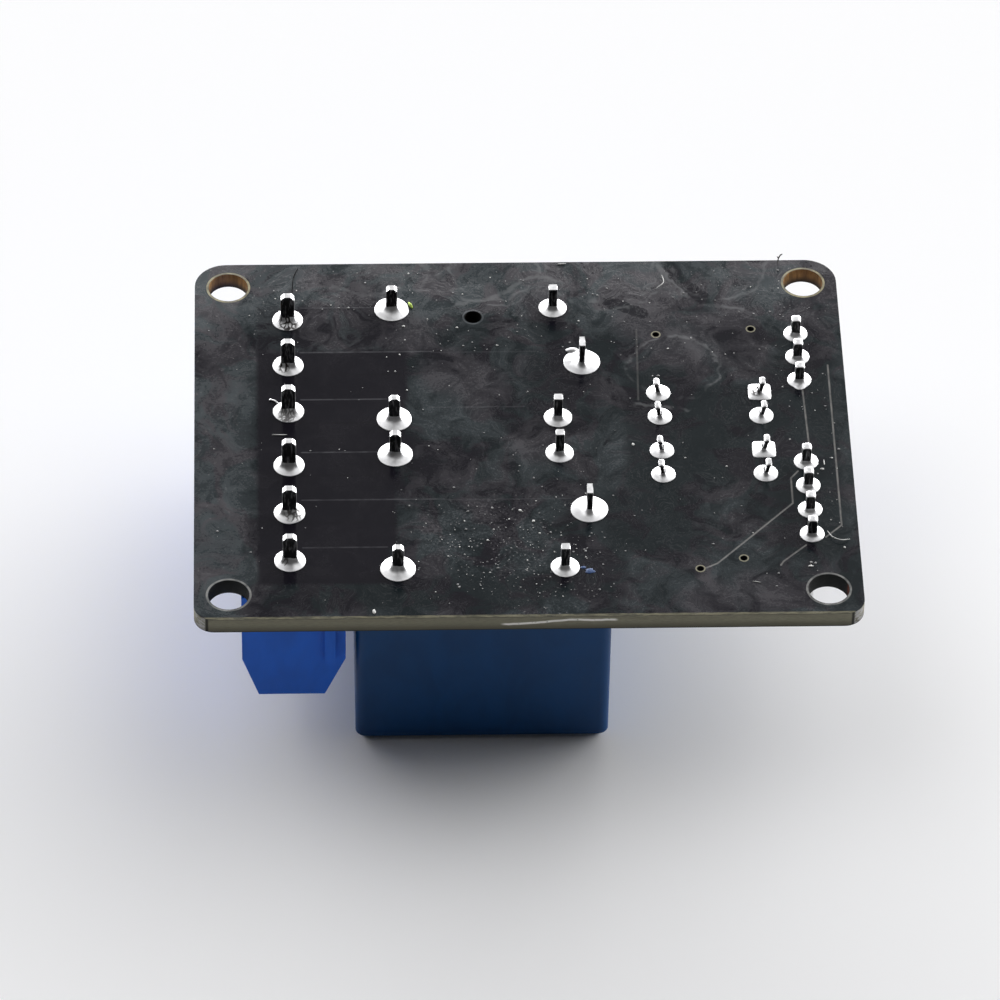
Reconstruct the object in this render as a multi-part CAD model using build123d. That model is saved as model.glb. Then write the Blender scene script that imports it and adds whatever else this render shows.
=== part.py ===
from build123d import *
import math
import os

# Switching board with two relays, in millimetres.
# It stands on its relay covers, with the solder side of the board facing up.
# Z = 0 is the plane of the relay tops, and X = Y = 0 is the middle of the board.
# Each component is drawn the right way up on Z = 0 and then turned over onto the board.

# Board
BOARD_LENGTH = 49.0
BOARD_WIDTH = 38.0
BOARD_THICKNESS = 1.3
REAR_CORNER = 2.4
FRONT_CORNER = 1.5
MOUNT_HOLE = 3.0
MOUNT_HOLE_FROM_EDGE = 2.55
VIA_HOLE = 0.5
VIA_PLACES = ((4.23, 10.82), (11.46, 11.34), (6.42, -14.23), (9.67, -13.19))
SPARE_HOLE = 1.3
SPARE_HOLE_PLACE = (-3.37, 12.94)

# Screw terminals, three ways to a block
TERMINAL_PITCH = 5.0
TERMINAL_WAYS = 3
TERMINAL_TO_RELAY = 0.72
TERMINALS_MIDDLE_Y = -0.15
TERMINAL_GAP = 0.76
TERMINAL_FRONT = 3.6
TERMINAL_BACK = 4.05
TERMINAL_HEIGHT = 10.15
TERMINAL_SHOULDER = 6.4
TERMINAL_TOP_FRONT = 2.4
TERMINAL_TOP_BACK = 2.5
TERMINAL_FRONT_WALL = 0.7
TERMINAL_ROOF = 1.0
CELL_WALL = 0.8
WIRE_ENTRY_CHEEK = 0.4
WIRE_ENTRY_HEIGHT = 3.3
WIRE_ENTRY_SILL = 1.2
WIRE_ENTRY_FUNNEL = 0.35
DRIVER_HOLE_LIP = 0.15
DOVETAIL_X = 2.9
DOVETAIL_WIDTH = 0.8
DOVETAIL_NECK = 0.55
DOVETAIL_DEPTH = 0.55
DOVETAIL_CLEARANCE = 0.1
STRIP_THICKNESS = 0.6
STRIP_BOTTOM = 0.3
STRIP_TO_CAGE = 0.15
TONGUE_TO_FRONT = 0.5
TONGUE_TO_LINTEL = 0.1
TERMINAL_PIN_LENGTH_X = 1.0
TERMINAL_PIN_WIDTH_Y = 0.5
TERMINAL_PIN_RISE = 2.6
TERMINAL_PAD = 2.3
CAGE_THREAD_WALL = 0.25
CAGE_WALL = 0.55
CAGE_FLOOR = 0.6
CAGE_HEAD = 1.2
CAGE_CORNER = 0.35
SCREW_DIAMETER = 2.5
SCREW_HEAD_RIM = 0.05
SCREW_HEAD_HEIGHT = 1.3
SCREW_HEAD_TO_ROOF = 0.15
SCREW_SLOT_WIDTH = 0.5
SCREW_SLOT_DEPTH = 0.7
SCREW_CROSS_LENGTH = 2.0
THREAD_CLEARANCE = 0.05
CAGE_CLEARANCE = 0.1
SCREW_TIP_CLEARANCE = 0.05
SEAT_CLEARANCE = 0.05

# Relays
RELAY_MIDDLE_X = -3.23
RELAYS_MIDDLE_Y = -0.065
RELAY_GAP = 0.49
RELAY_LENGTH = 18.9
RELAY_WIDTH = 15.3
RELAY_HEIGHT = 15.2
RELAY_STANDOFF = 0.3
COMMON_PIN_FROM_END = 1.5
COIL_PINS_FROM_COMMON_PIN = 2.0
CONTACT_PINS_FROM_END = 3.14
PINS_FROM_SIDE = 1.65
COVER_WALL = 0.8
COVER_ROOF = 0.9
COVER_SIDE_EDGE = 0.8
COVER_TOP_EDGE = 0.5
BASE_THICKNESS = 1.4
BASE_FOOT_LENGTH = 1.6
YOKE_THICKNESS = 1.0
YOKE_ROUND_CORE = 1.4
YOKE_TOE = 1.8
CONTACT_BAY = 5.9
MECHANISM_HEIGHT = 5.1
FLANGE_THICKNESS = 0.7
FLANGE_SIDE_GAP = 1.65
FLANGE_CORNER = 2.2
LOWER_FLANGE_SIDE_GAP = 0.25
FLANGE_TO_YOKE = 0.2
WINDING_INSET = 0.25
WINDING_THICKNESS = 1.8
BOBBIN_TUBE_WALL = 0.75
CORE_CLEARANCE = 0.05
POLE_RIM = 1.2
POLE_THICKNESS = 0.5
POLE_GAP = 0.05
ARMATURE_THICKNESS = 1.0
ARMATURE_WIDTH = 6.4
ARMATURE_PAST_POLE = 0.8
ARMATURE_SWING = 3.2
STAKE_SIDE = 0.9
STAKE_HEIGHT = 0.25
STAKE_SPACING = 2.4
STAKES_FROM_POLE = 1.05
LEAF_THICKNESS = 0.2
LEAF_WIDTH = 4.8
LEAF_TIP_WIDTH = 2.6
LEAF_TAIL_LENGTH = 2.9
LEAF_TAIL_GAP = 0.08
CONTACTS_FROM_END = 2.85
CONTACT_DIAMETER = 2.4
CONTACT_THICKNESS = 0.5
CONTACT_GAP = 0.03
BLADE_WIDTH = 2.4
BLADE_THICKNESS = 0.3
BLADE_ROOT_THICKNESS = 0.5
CONTACT_PIN_LENGTH_X = 0.8
CONTACT_PIN_RISE = 2.3
COIL_PIN_SIDE = 0.6
COIL_PIN_RISE = 2.2
COIL_PIN_STUB = 1.2
COMMON_PIN_THICKNESS = 0.4
COMMON_PIN_WIDTH = 1.0
COMMON_PLATE_WIDTH = 3.0
COMMON_PLATE_TO_LEAF = 1.0
COMMON_PIN_RISE = 2.2
CONTACT_PAD = 2.6
COIL_PAD = 2.1
COMMON_PAD = 2.75

# Optocouplers
RELAY_TO_OPTO_LEADS = 4.14
OPTO_ROWS_Y = (3.11, -3.075)
OPTO_PIN_PITCH = 2.54
OPTO_ROW_SPACING = 7.62
OPTO_LENGTH = 4.6
OPTO_TO_LEADS = 0.61
OPTO_HEIGHT = 3.5
OPTO_STANDOFF = 0.35
OPTO_DRAFT = 6
OPTO_DOT_DIAMETER = 0.9
OPTO_DOT_DEPTH = 0.12
LEAD_THICKNESS = 0.25
LEAD_WIDTH = 0.5
LEAD_SHOULDER_WIDTH = 1.2
LEAD_SHOULDER_HEIGHT = 0.7
LEAD_SPLAY = 0.25
LEAD_RISE = 1.3
OPTO_PAD = 1.8

# Pin headers and the link cap
OPTO_LEADS_TO_HEADER = 3.07
HEADER_PITCH = 2.54
LINK_HEADER_Y = 8.2
LINK_HEADER_WAYS = 3
SIGNAL_HEADER_Y = -6.94
SIGNAL_HEADER_WAYS = 4
HEADER_BODY_HEIGHT = 2.54
HEADER_BODY_CHAMFER = 0.45
HEADER_PIN_SIDE = 0.64
HEADER_PIN_LENGTH = 5.4
HEADER_PIN_TIP = 0.15
HEADER_PIN_RISE = 1.65
HEADER_PAD = 1.8
LINK_CAP_HEIGHT = 6.2
LINK_CAP_SEAT = 0.06
LINK_CAP_CORNER = 0.35
LINK_CLIP_WALL = 0.2
LINK_CLIP_CLEARANCE = 0.05
LINK_CLIP_LIFT = 0.6
LINK_CLIP_BELOW_TOP = 0.8
LINK_CLIP_SEAT = 0.03

# Small parts that lie on the component side. As for the vias, X starts at the relays' ends.
DIODE_PLACES = ((2.18, 13.2), (2.18, -13.0))
TRANSISTOR_PLACES = ((2.28, 7.6), (2.28, -7.6))
LAMP_PLACES = ((7.68, 14.6), (7.68, -10.6))
RESISTOR_PLACES = ((6.18, 8.2), (9.68, 8.2), (6.18, -7.6), (9.98, -7.6), (12.38, 14.9), (12.78, -16.3))
DIODE_BODY = (2.7, 1.6, 1.1)
TRANSISTOR_BODY = (1.3, 2.9, 0.95)
LAMP_BODY = (2.0, 1.25, 0.75)
RESISTOR_BODY = (2.0, 1.25, 0.5)
CHIP_END = 0.4
CHIP_END_STEP = 0.05
GULL_THICKNESS = 0.15
GULL_WIDTH = 0.45
GULL_REACH = 0.55
GULL_PITCH = 0.95
LAMP_LENS_DROP = 0.3
LAMP_LENS_LENGTH = 1.2

# Solder
SOLDER_TERMINAL_HEIGHT = 0.8
SOLDER_CONTACT_HEIGHT = 0.8
SOLDER_COIL_HEIGHT = 0.7
SOLDER_COMMON_HEIGHT = 0.7
SOLDER_OPTO_HEIGHT = 0.5
SOLDER_HEADER_HEIGHT = 0.6
SOLDER_NECK = 0.25
SOLDER_SKIRT_HEIGHT = 0.3
SOLDER_SKIRT_WIDTH = 0.6
SOLDER_SIDES = 12
SQUARE_PAD_RATIO = 0.94
PAD_THICKNESS = 0.06

# Places on the board that follow from the sizes above
COMPONENT_FACE = RELAY_HEIGHT
SOLDER_FACE = COMPONENT_FACE + BOARD_THICKNESS
TERMINAL_LENGTH = TERMINAL_WAYS * TERMINAL_PITCH
TERMINAL_X = RELAY_MIDDLE_X - RELAY_LENGTH / 2 - TERMINAL_TO_RELAY - TERMINAL_BACK
TERMINAL_ROWS_Y = [TERMINALS_MIDDLE_Y + side * (TERMINAL_LENGTH + TERMINAL_GAP) / 2 for side in (1, -1)]
RELAY_ROWS_Y = [RELAYS_MIDDLE_Y + side * (RELAY_WIDTH + RELAY_GAP) / 2 for side in (1, -1)]
RELAY_END_X = RELAY_MIDDLE_X + RELAY_LENGTH / 2
OPTO_X = RELAY_END_X + RELAY_TO_OPTO_LEADS + OPTO_ROW_SPACING / 2
HEADER_X = OPTO_X + OPTO_ROW_SPACING / 2 + OPTO_LEADS_TO_HEADER
UP = (Align.CENTER, Align.CENTER, Align.MIN)

# Inside a terminal, measured from its pin and the board
CELL_WIDTH = TERMINAL_PITCH - CELL_WALL
CAGE_WIDTH = CELL_WIDTH - 2 * CAGE_CLEARANCE
CAGE_DEPTH = SCREW_DIAMETER + 2 * (THREAD_CLEARANCE + CAGE_THREAD_WALL)
SCREW_HEAD_DIAMETER = CAGE_DEPTH + 2 * SCREW_HEAD_RIM
STRIP_WIDTH = CAGE_WIDTH - 2 * (CAGE_WALL + STRIP_TO_CAGE)
STRIP_BACK = CAGE_DEPTH / 2 + STRIP_TO_CAGE + STRIP_THICKNESS
TONGUE_FRONT = TERMINAL_FRONT_WALL + TONGUE_TO_FRONT - TERMINAL_FRONT
TONGUE_TOP = WIRE_ENTRY_SILL + WIRE_ENTRY_HEIGHT - TONGUE_TO_LINTEL
CAGE_BOTTOM = STRIP_BOTTOM + STRIP_THICKNESS + CAGE_CLEARANCE
CAGE_TOP = TONGUE_TOP + CAGE_CLEARANCE + CAGE_HEAD
SCREW_HEAD_BOTTOM = TERMINAL_HEIGHT - TERMINAL_ROOF - SCREW_HEAD_TO_ROOF - SCREW_HEAD_HEIGHT

# Inside a relay, measured from the middle of its cover and the board
RELAY_END = RELAY_LENGTH / 2
RELAY_INNER_WIDTH = RELAY_WIDTH - 2 * COVER_WALL
COMMON_PIN_X = RELAY_END - COMMON_PIN_FROM_END
COIL_PIN_X = COMMON_PIN_X - COIL_PINS_FROM_COMMON_PIN
CONTACT_PIN_X = CONTACT_PINS_FROM_END - RELAY_END
CONTACT_X = CONTACTS_FROM_END - RELAY_END
SIDE_PIN_Y = RELAY_WIDTH / 2 - PINS_FROM_SIDE
YOKE_BACK = COMMON_PIN_X - COMMON_PIN_THICKNESS / 2
FLANGE_BACK = YOKE_BACK - YOKE_THICKNESS - FLANGE_TO_YOKE
FLANGE_FRONT = CONTACT_BAY - RELAY_END
FLANGE_LENGTH = FLANGE_BACK - FLANGE_FRONT
COIL_AXIS_X = (FLANGE_BACK + FLANGE_FRONT) / 2
WINDING_DIAMETER = FLANGE_LENGTH - 2 * WINDING_INSET
BOBBIN_TUBE_DIAMETER = WINDING_DIAMETER - 2 * WINDING_THICKNESS
CORE_DIAMETER = BOBBIN_TUBE_DIAMETER - 2 * (BOBBIN_TUBE_WALL + CORE_CLEARANCE)
POLE_DIAMETER = CORE_DIAMETER + 2 * POLE_RIM
ARMATURE_FRONT = COIL_AXIS_X - POLE_DIAMETER / 2 - ARMATURE_PAST_POLE
BASE_TOP = RELAY_STANDOFF + BASE_THICKNESS
LOWER_FLANGE_BOTTOM = BASE_TOP + YOKE_THICKNESS
WINDING_BOTTOM = LOWER_FLANGE_BOTTOM + FLANGE_THICKNESS
WINDING_TOP = RELAY_HEIGHT - COVER_ROOF - MECHANISM_HEIGHT
POLE_BOTTOM = WINDING_TOP + FLANGE_THICKNESS
POLE_TOP = POLE_BOTTOM + POLE_THICKNESS
ARMATURE_BOTTOM = POLE_TOP + POLE_GAP
ARMATURE_TOP = ARMATURE_BOTTOM + ARMATURE_THICKNESS
LEAF_TOP = ARMATURE_TOP + LEAF_THICKNESS


def block(x0, x1, y0, y1, z0, z1):
    """Box between two opposite corners."""
    centre = Pos((x0 + x1) / 2, (y0 + y1) / 2, (z0 + z1) / 2)
    return centre * Box(x1 - x0, y1 - y0, z1 - z0)


def rod(diameter, z0, z1, x=0.0, y=0.0):
    """Upright cylinder between two heights."""
    return Pos(x, y, z0) * Cylinder(diameter / 2, z1 - z0, align=UP)


def side_profile(points, width):
    """Closed outline in the XZ plane, thickened evenly about Y = 0."""
    face = make_face(Polyline(*[(x, 0, z) for x, z in points], close=True))
    return extrude(face, width / 2, dir=(0, 1, 0), both=True)


def on_board(x, y):
    """Place of a component: turned over, with its foot on the component face."""
    return Pos(x, y, COMPONENT_FACE) * Rot(180, 0, 0)


def pin_below(rise):
    """Height of a pin's tip in the frame of a component that stands on Z = 0."""
    return -(BOARD_THICKNESS + rise)


def places_in_row(count, pitch):
    """Evenly spaced places, centred on zero."""
    return [(i - (count - 1) / 2) * pitch for i in range(count)]


# Places of the pins on the board

def terminal_places():
    cells = places_in_row(TERMINAL_WAYS, TERMINAL_PITCH)
    return [(TERMINAL_X, row + cell) for row in TERMINAL_ROWS_Y for cell in cells]


def side_pin_places(x):
    """Places of the relays' pins that stand in pairs, one near each side."""
    return [(RELAY_MIDDLE_X + x, row + side * SIDE_PIN_Y) for row in RELAY_ROWS_Y for side in (-1, 1)]


def common_places():
    return [(RELAY_MIDDLE_X + COMMON_PIN_X, row) for row in RELAY_ROWS_Y]


def opto_places():
    half = OPTO_ROW_SPACING / 2
    pins = places_in_row(2, OPTO_PIN_PITCH)
    return [(OPTO_X + side * half, row + pin)
            for row in OPTO_ROWS_Y for side in (-1, 1) for pin in pins]


def header_places():
    link = [(HEADER_X, LINK_HEADER_Y + y) for y in places_in_row(LINK_HEADER_WAYS, HEADER_PITCH)]
    signal = [(HEADER_X, SIGNAL_HEADER_Y + y)
              for y in places_in_row(SIGNAL_HEADER_WAYS, HEADER_PITCH)]
    return link + signal


def mount_places():
    x, y = BOARD_LENGTH / 2 - MOUNT_HOLE_FROM_EDGE, BOARD_WIDTH / 2 - MOUNT_HOLE_FROM_EDGE
    return [(sx * x, sy * y) for sx in (-1, 1) for sy in (-1, 1)]


def past_relays(places):
    """Places on the board of what is measured from the relays' ends."""
    return [(RELAY_END_X + x, y) for x, y in places]


# Board

def circuit_board(pins):
    """Laminate with its holes. A pin's hole is full of solder, so it is drawn to the pin."""
    outline = Rectangle(BOARD_LENGTH, BOARD_WIDTH)
    outline = fillet(outline.vertices().sort_by(Axis.Y)[-2:], REAR_CORNER)
    outline = fillet(outline.vertices().sort_by(Axis.Y)[:2], FRONT_CORNER)
    board = extrude(outline, BOARD_THICKNESS)
    drills = ((MOUNT_HOLE, mount_places()), (VIA_HOLE, past_relays(VIA_PLACES)),
              (SPARE_HOLE, [SPARE_HOLE_PLACE]))
    for diameter, places in drills:
        board -= [rod(diameter, 0, BOARD_THICKNESS, x, y) for x, y in places]
    board = Pos(0, 0, COMPONENT_FACE) * board
    for pin in pins:
        board -= pin
    return board


# Screw terminals

def dovetail(clearance, height):
    """Rib or groove outline on the end face of a block, growing along +Y from Y = 0."""
    neck = DOVETAIL_NECK / 2 + clearance
    wide = DOVETAIL_WIDTH / 2 + clearance
    depth = DOVETAIL_DEPTH + clearance
    outline = make_face(Polyline((-neck, 0), (-wide, depth), (wide, depth), (neck, 0), close=True))
    return Pos(DOVETAIL_X, 0, 0) * extrude(outline, height)


def terminal_housing():
    body = side_profile(
        [(-TERMINAL_FRONT, 0), (-TERMINAL_FRONT, TERMINAL_SHOULDER),
         (-TERMINAL_TOP_FRONT, TERMINAL_HEIGHT), (TERMINAL_TOP_BACK, TERMINAL_HEIGHT),
         (TERMINAL_BACK, TERMINAL_SHOULDER), (TERMINAL_BACK, 0)],
        TERMINAL_LENGTH,
    )
    body += Pos(0, TERMINAL_LENGTH / 2, 0) * dovetail(0, TERMINAL_SHOULDER)
    body -= Pos(0, -TERMINAL_LENGTH / 2, 0) * dovetail(DOVETAIL_CLEARANCE, TERMINAL_SHOULDER)
    front = -TERMINAL_FRONT + TERMINAL_FRONT_WALL
    guide = CAGE_DEPTH / 2 + CAGE_CLEARANCE
    head_roof = TERMINAL_HEIGHT - TERMINAL_ROOF
    half = CELL_WIDTH / 2
    entry = half - WIRE_ENTRY_CHEEK
    flare = entry + WIRE_ENTRY_FUNNEL
    sill = WIRE_ENTRY_SILL
    lintel = sill + WIRE_ENTRY_HEIGHT
    funnel_front = Plane((-TERMINAL_FRONT, 0, (sill + lintel) / 2), x_dir=(0, 1, 0), z_dir=(1, 0, 0))
    mouth = funnel_front * Rectangle(2 * flare, WIRE_ENTRY_HEIGHT + 2 * WIRE_ENTRY_FUNNEL)
    throat = funnel_front.offset(WIRE_ENTRY_FUNNEL) * Rectangle(2 * entry, WIRE_ENTRY_HEIGHT)
    funnel = loft([mouth.face(), throat.face()])
    cell = block(front, STRIP_BACK + SEAT_CLEARANCE, -half, half, 0, lintel)
    cell += block(-guide, guide, -half, half, lintel, head_roof)
    cell += rod(SCREW_HEAD_DIAMETER - 2 * DRIVER_HOLE_LIP, head_roof, TERMINAL_HEIGHT)
    cell += block(-TERMINAL_FRONT + WIRE_ENTRY_FUNNEL, front, -entry, entry, sill, lintel)
    cell += funnel
    for y in places_in_row(TERMINAL_WAYS, TERMINAL_PITCH):
        body -= Pos(0, y, 0) * cell
    return body


def terminal_contact():
    """One bent strip: a tongue inside the cage, a back leg, a foot and the board pin."""
    top, bottom, thick = TONGUE_TOP, STRIP_BOTTOM, STRIP_THICKNESS
    back, inner = STRIP_BACK, STRIP_BACK - STRIP_THICKNESS
    toe = -TERMINAL_PIN_LENGTH_X / 2
    strip = side_profile(
        [(TONGUE_FRONT, top - thick), (TONGUE_FRONT, top), (back, top), (back, bottom),
         (toe, bottom), (toe, bottom + thick), (inner, bottom + thick), (inner, top - thick)],
        STRIP_WIDTH,
    )
    half_x, half_y = TERMINAL_PIN_LENGTH_X / 2, TERMINAL_PIN_WIDTH_Y / 2
    pin = block(-half_x, half_x, -half_y, half_y, pin_below(TERMINAL_PIN_RISE), bottom + thick)
    tip = pin.faces().sort_by(Axis.Z)[0].edges().filter_by(Axis.Y)
    return strip + chamfer(tip, TERMINAL_PIN_LENGTH_X / 4)


def terminal_cage():
    """Rising clamp: a ring round the tongue, with the screw's thread in its head."""
    half, depth = CAGE_WIDTH / 2, CAGE_DEPTH / 2
    low, high = CAGE_BOTTOM, CAGE_TOP
    ring = block(-depth, depth, -half, half, low, high)
    ring = chamfer(ring.edges().filter_by(Axis.X), CAGE_CORNER)
    window = half - CAGE_WALL
    ring -= block(-depth, depth, -window, window, low + CAGE_FLOOR, high - CAGE_HEAD)
    return ring - rod(SCREW_DIAMETER + 2 * THREAD_CLEARANCE, high - CAGE_HEAD, high)


def terminal_screw():
    head_top = SCREW_HEAD_BOTTOM + SCREW_HEAD_HEIGHT
    screw = rod(SCREW_DIAMETER, TONGUE_TOP + SCREW_TIP_CLEARANCE, SCREW_HEAD_BOTTOM)
    screw += rod(SCREW_HEAD_DIAMETER, SCREW_HEAD_BOTTOM, head_top)
    half, slot = SCREW_HEAD_DIAMETER / 2, SCREW_SLOT_WIDTH / 2
    cross = SCREW_CROSS_LENGTH / 2
    slot_floor = head_top - SCREW_SLOT_DEPTH
    screw -= block(-half, half, -slot, slot, slot_floor, head_top)
    return screw - block(-slot, slot, -cross, cross, slot_floor, head_top)


# Relays

def relay_cover():
    cover = block(-RELAY_END, RELAY_END, -RELAY_WIDTH / 2, RELAY_WIDTH / 2,
                  RELAY_STANDOFF, RELAY_HEIGHT)
    cover = fillet(cover.edges().filter_by(Axis.Z), COVER_SIDE_EDGE)
    cover = chamfer(cover.faces().sort_by(Axis.Z)[-1].edges(), COVER_TOP_EDGE)
    half_x, half_y = RELAY_END - COVER_WALL, RELAY_INNER_WIDTH / 2
    return cover - block(-half_x, half_x, -half_y, half_y, RELAY_STANDOFF, RELAY_HEIGHT - COVER_ROOF)


def relay_pins():
    """Every pin that passes the relay's base, to cut its slots."""
    return [coil_pin(side) for side in (-1, 1)] + [common_pin()] + \
        [contact_pin(side) for side in (-1, 1)]


def relay_base():
    half_x = RELAY_END - COVER_WALL - SEAT_CLEARANCE
    half_y = RELAY_INNER_WIDTH / 2 - SEAT_CLEARANCE
    base = block(-half_x, half_x, -half_y, half_y, RELAY_STANDOFF, BASE_TOP)
    foot = BASE_FOOT_LENGTH
    for sx in (-1, 1):
        for sy in (-1, 1):
            x, y = sx * (half_x - foot / 2), sy * (half_y - foot)
            base += block(x - foot / 2, x + foot / 2, y - foot / 2, y + foot / 2, 0, RELAY_STANDOFF)
    for pin in relay_pins():
        box = pin.bounding_box()
        base -= block(box.min.X - SEAT_CLEARANCE, box.max.X + SEAT_CLEARANCE,
                      box.min.Y - SEAT_CLEARANCE, box.max.Y + SEAT_CLEARANCE, 0, BASE_TOP)
    return base


def relay_bobbin():
    low = Pos(COIL_AXIS_X, 0, LOWER_FLANGE_BOTTOM)
    flange = Rectangle(FLANGE_LENGTH, RELAY_INNER_WIDTH - 2 * LOWER_FLANGE_SIDE_GAP)
    bobbin = low * extrude(flange, FLANGE_THICKNESS)
    bobbin += rod(BOBBIN_TUBE_DIAMETER, WINDING_BOTTOM, WINDING_TOP, COIL_AXIS_X)
    upper = Rectangle(FLANGE_LENGTH, RELAY_INNER_WIDTH - 2 * FLANGE_SIDE_GAP)
    upper = chamfer(upper.vertices(), FLANGE_CORNER)
    bobbin += Pos(COIL_AXIS_X, 0, WINDING_TOP) * extrude(upper, FLANGE_THICKNESS)
    bobbin -= rod(CORE_DIAMETER + 2 * CORE_CLEARANCE, LOWER_FLANGE_BOTTOM, POLE_BOTTOM, COIL_AXIS_X)
    for side in (-1, 1):
        bobbin -= coil_pin(side)
    return bobbin


def relay_winding():
    coil = rod(WINDING_DIAMETER, WINDING_BOTTOM, WINDING_TOP, COIL_AXIS_X)
    return coil - rod(BOBBIN_TUBE_DIAMETER, WINDING_BOTTOM, WINDING_TOP, COIL_AXIS_X)


def relay_core():
    core = rod(CORE_DIAMETER, BASE_TOP, POLE_BOTTOM, COIL_AXIS_X)
    return core + rod(POLE_DIAMETER, POLE_BOTTOM, POLE_TOP, COIL_AXIS_X)


def relay_yoke():
    toe = COIL_AXIS_X - CORE_DIAMETER / 2 - YOKE_TOE
    inner = YOKE_BACK - YOKE_THICKNESS
    yoke = side_profile(
        [(toe, BASE_TOP), (toe, LOWER_FLANGE_BOTTOM), (inner, LOWER_FLANGE_BOTTOM),
         (inner, POLE_TOP), (YOKE_BACK, POLE_TOP), (YOKE_BACK, BASE_TOP)],
        CORE_DIAMETER + 2 * YOKE_ROUND_CORE,
    )
    return yoke - rod(CORE_DIAMETER, BASE_TOP, LOWER_FLANGE_BOTTOM, COIL_AXIS_X)


def released(shape):
    """Swing a piece from the pulled-in place to the released one, about the yoke's top edge."""
    edge = Pos(YOKE_BACK, 0, POLE_TOP)
    return edge * Rot(0, ARMATURE_SWING, 0) * edge.inverse() * shape


def stakes(top):
    """Two square studs of the armature, which pass the leaf spring and hold it."""
    half = STAKE_SIDE / 2
    x = COIL_AXIS_X + STAKES_FROM_POLE
    middles = places_in_row(2, STAKE_SPACING)
    return [block(x - half, x + half, y - half, y + half, ARMATURE_TOP, top) for y in middles]


def relay_armature():
    plate = block(ARMATURE_FRONT, YOKE_BACK - LEAF_TAIL_GAP, -ARMATURE_WIDTH / 2, ARMATURE_WIDTH / 2,
                  ARMATURE_BOTTOM, ARMATURE_TOP)
    return released(plate + stakes(LEAF_TOP + STAKE_HEIGHT))


def relay_contact_spring():
    """Leaf spring with the moving contact on its tip and its tail down the yoke's back."""
    tail_inner = YOKE_BACK + LEAF_TAIL_GAP
    tail_outer = tail_inner + LEAF_THICKNESS
    half, tip_half = LEAF_WIDTH / 2, LEAF_TIP_WIDTH / 2
    tip = CONTACT_X - CONTACT_DIAMETER / 2 - SEAT_CLEARANCE
    waist, neck = ARMATURE_FRONT, ARMATURE_FRONT - half
    outline = make_face(Polyline(
        (tail_outer - LEAF_TAIL_GAP, -half), (tail_outer - LEAF_TAIL_GAP, half), (waist, half),
        (neck, tip_half), (tip, tip_half), (tip, -tip_half), (neck, -tip_half),
        (waist, -half), close=True))
    leaf = Pos(0, 0, ARMATURE_TOP) * extrude(outline, LEAF_THICKNESS)
    leaf += rod(CONTACT_DIAMETER, ARMATURE_TOP - CONTACT_THICKNESS, LEAF_TOP + CONTACT_THICKNESS,
                CONTACT_X)
    leaf -= stakes(LEAF_TOP)
    tail_top = ARMATURE_TOP + LEAF_THICKNESS / 2
    return released(leaf) + block(tail_inner, tail_outer, -half, half,
                                  POLE_TOP - LEAF_TAIL_LENGTH, tail_top)


def contact_face_height(closed):
    """Height of the fixed contact that the moving one meets."""
    if closed:
        return ARMATURE_TOP - CONTACT_THICKNESS - CONTACT_GAP
    swing = math.radians(ARMATURE_SWING)
    reach = YOKE_BACK - CONTACT_X + CONTACT_DIAMETER / 2
    rise = LEAF_TOP + CONTACT_THICKNESS - POLE_TOP
    return POLE_TOP + reach * math.sin(swing) + rise * math.cos(swing) + CONTACT_GAP


def contact_pin(side):
    half_x, half_y = CONTACT_PIN_LENGTH_X / 2, BLADE_ROOT_THICKNESS / 2
    y = side * SIDE_PIN_Y
    pin = block(CONTACT_PIN_X - half_x, CONTACT_PIN_X + half_x, y - half_y, y + half_y,
                pin_below(CONTACT_PIN_RISE), BASE_TOP)
    tip = pin.faces().sort_by(Axis.Z)[0].edges().filter_by(Axis.Y)
    return chamfer(tip, CONTACT_PIN_LENGTH_X / 4)


def fixed_contact(side, closed):
    """Fixed contact on a blade that rises from its pin and bends over to the middle."""
    face = contact_face_height(closed)
    towards = -1 if closed else 1
    blade_face = face + towards * CONTACT_THICKNESS
    blade_back = blade_face + towards * BLADE_THICKNESS
    low, high = min(blade_face, blade_back), max(blade_face, blade_back)
    half = BLADE_WIDTH / 2
    y = side * SIDE_PIN_Y
    y_out, y_in = y + side * BLADE_ROOT_THICKNESS / 2, y - side * BLADE_ROOT_THICKNESS / 2
    y_end = -side * CONTACT_DIAMETER / 2
    root = block(CONTACT_X - half, CONTACT_X + half, min(y_out, y_in), max(y_out, y_in), BASE_TOP, high)
    arm = block(CONTACT_X - half, CONTACT_X + half, min(y_out, y_end), max(y_out, y_end), low, high)
    button = rod(CONTACT_DIAMETER, min(face, blade_face), max(face, blade_face), CONTACT_X)
    return contact_pin(side) + root + arm + button


def coil_pin(side):
    half = COIL_PIN_SIDE / 2
    y = side * SIDE_PIN_Y
    return block(COIL_PIN_X - half, COIL_PIN_X + half, y - half, y + half,
                 pin_below(COIL_PIN_RISE), WINDING_BOTTOM + COIL_PIN_STUB)


def common_pin():
    half_x = COMMON_PIN_THICKNESS / 2
    half_y = COMMON_PIN_WIDTH / 2
    return block(COMMON_PIN_X - half_x, COMMON_PIN_X + half_x, -half_y, half_y,
                 pin_below(COMMON_PIN_RISE), BASE_TOP)


def relay_common():
    """Common pin, widened to a plate that lies on the yoke's back."""
    half_x, half_y = COMMON_PIN_THICKNESS / 2, COMMON_PLATE_WIDTH / 2
    top = POLE_TOP - LEAF_TAIL_LENGTH - COMMON_PLATE_TO_LEAF
    return common_pin() + block(COMMON_PIN_X - half_x, COMMON_PIN_X + half_x, -half_y, half_y,
                                BASE_TOP, top)


# Optocouplers

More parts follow.
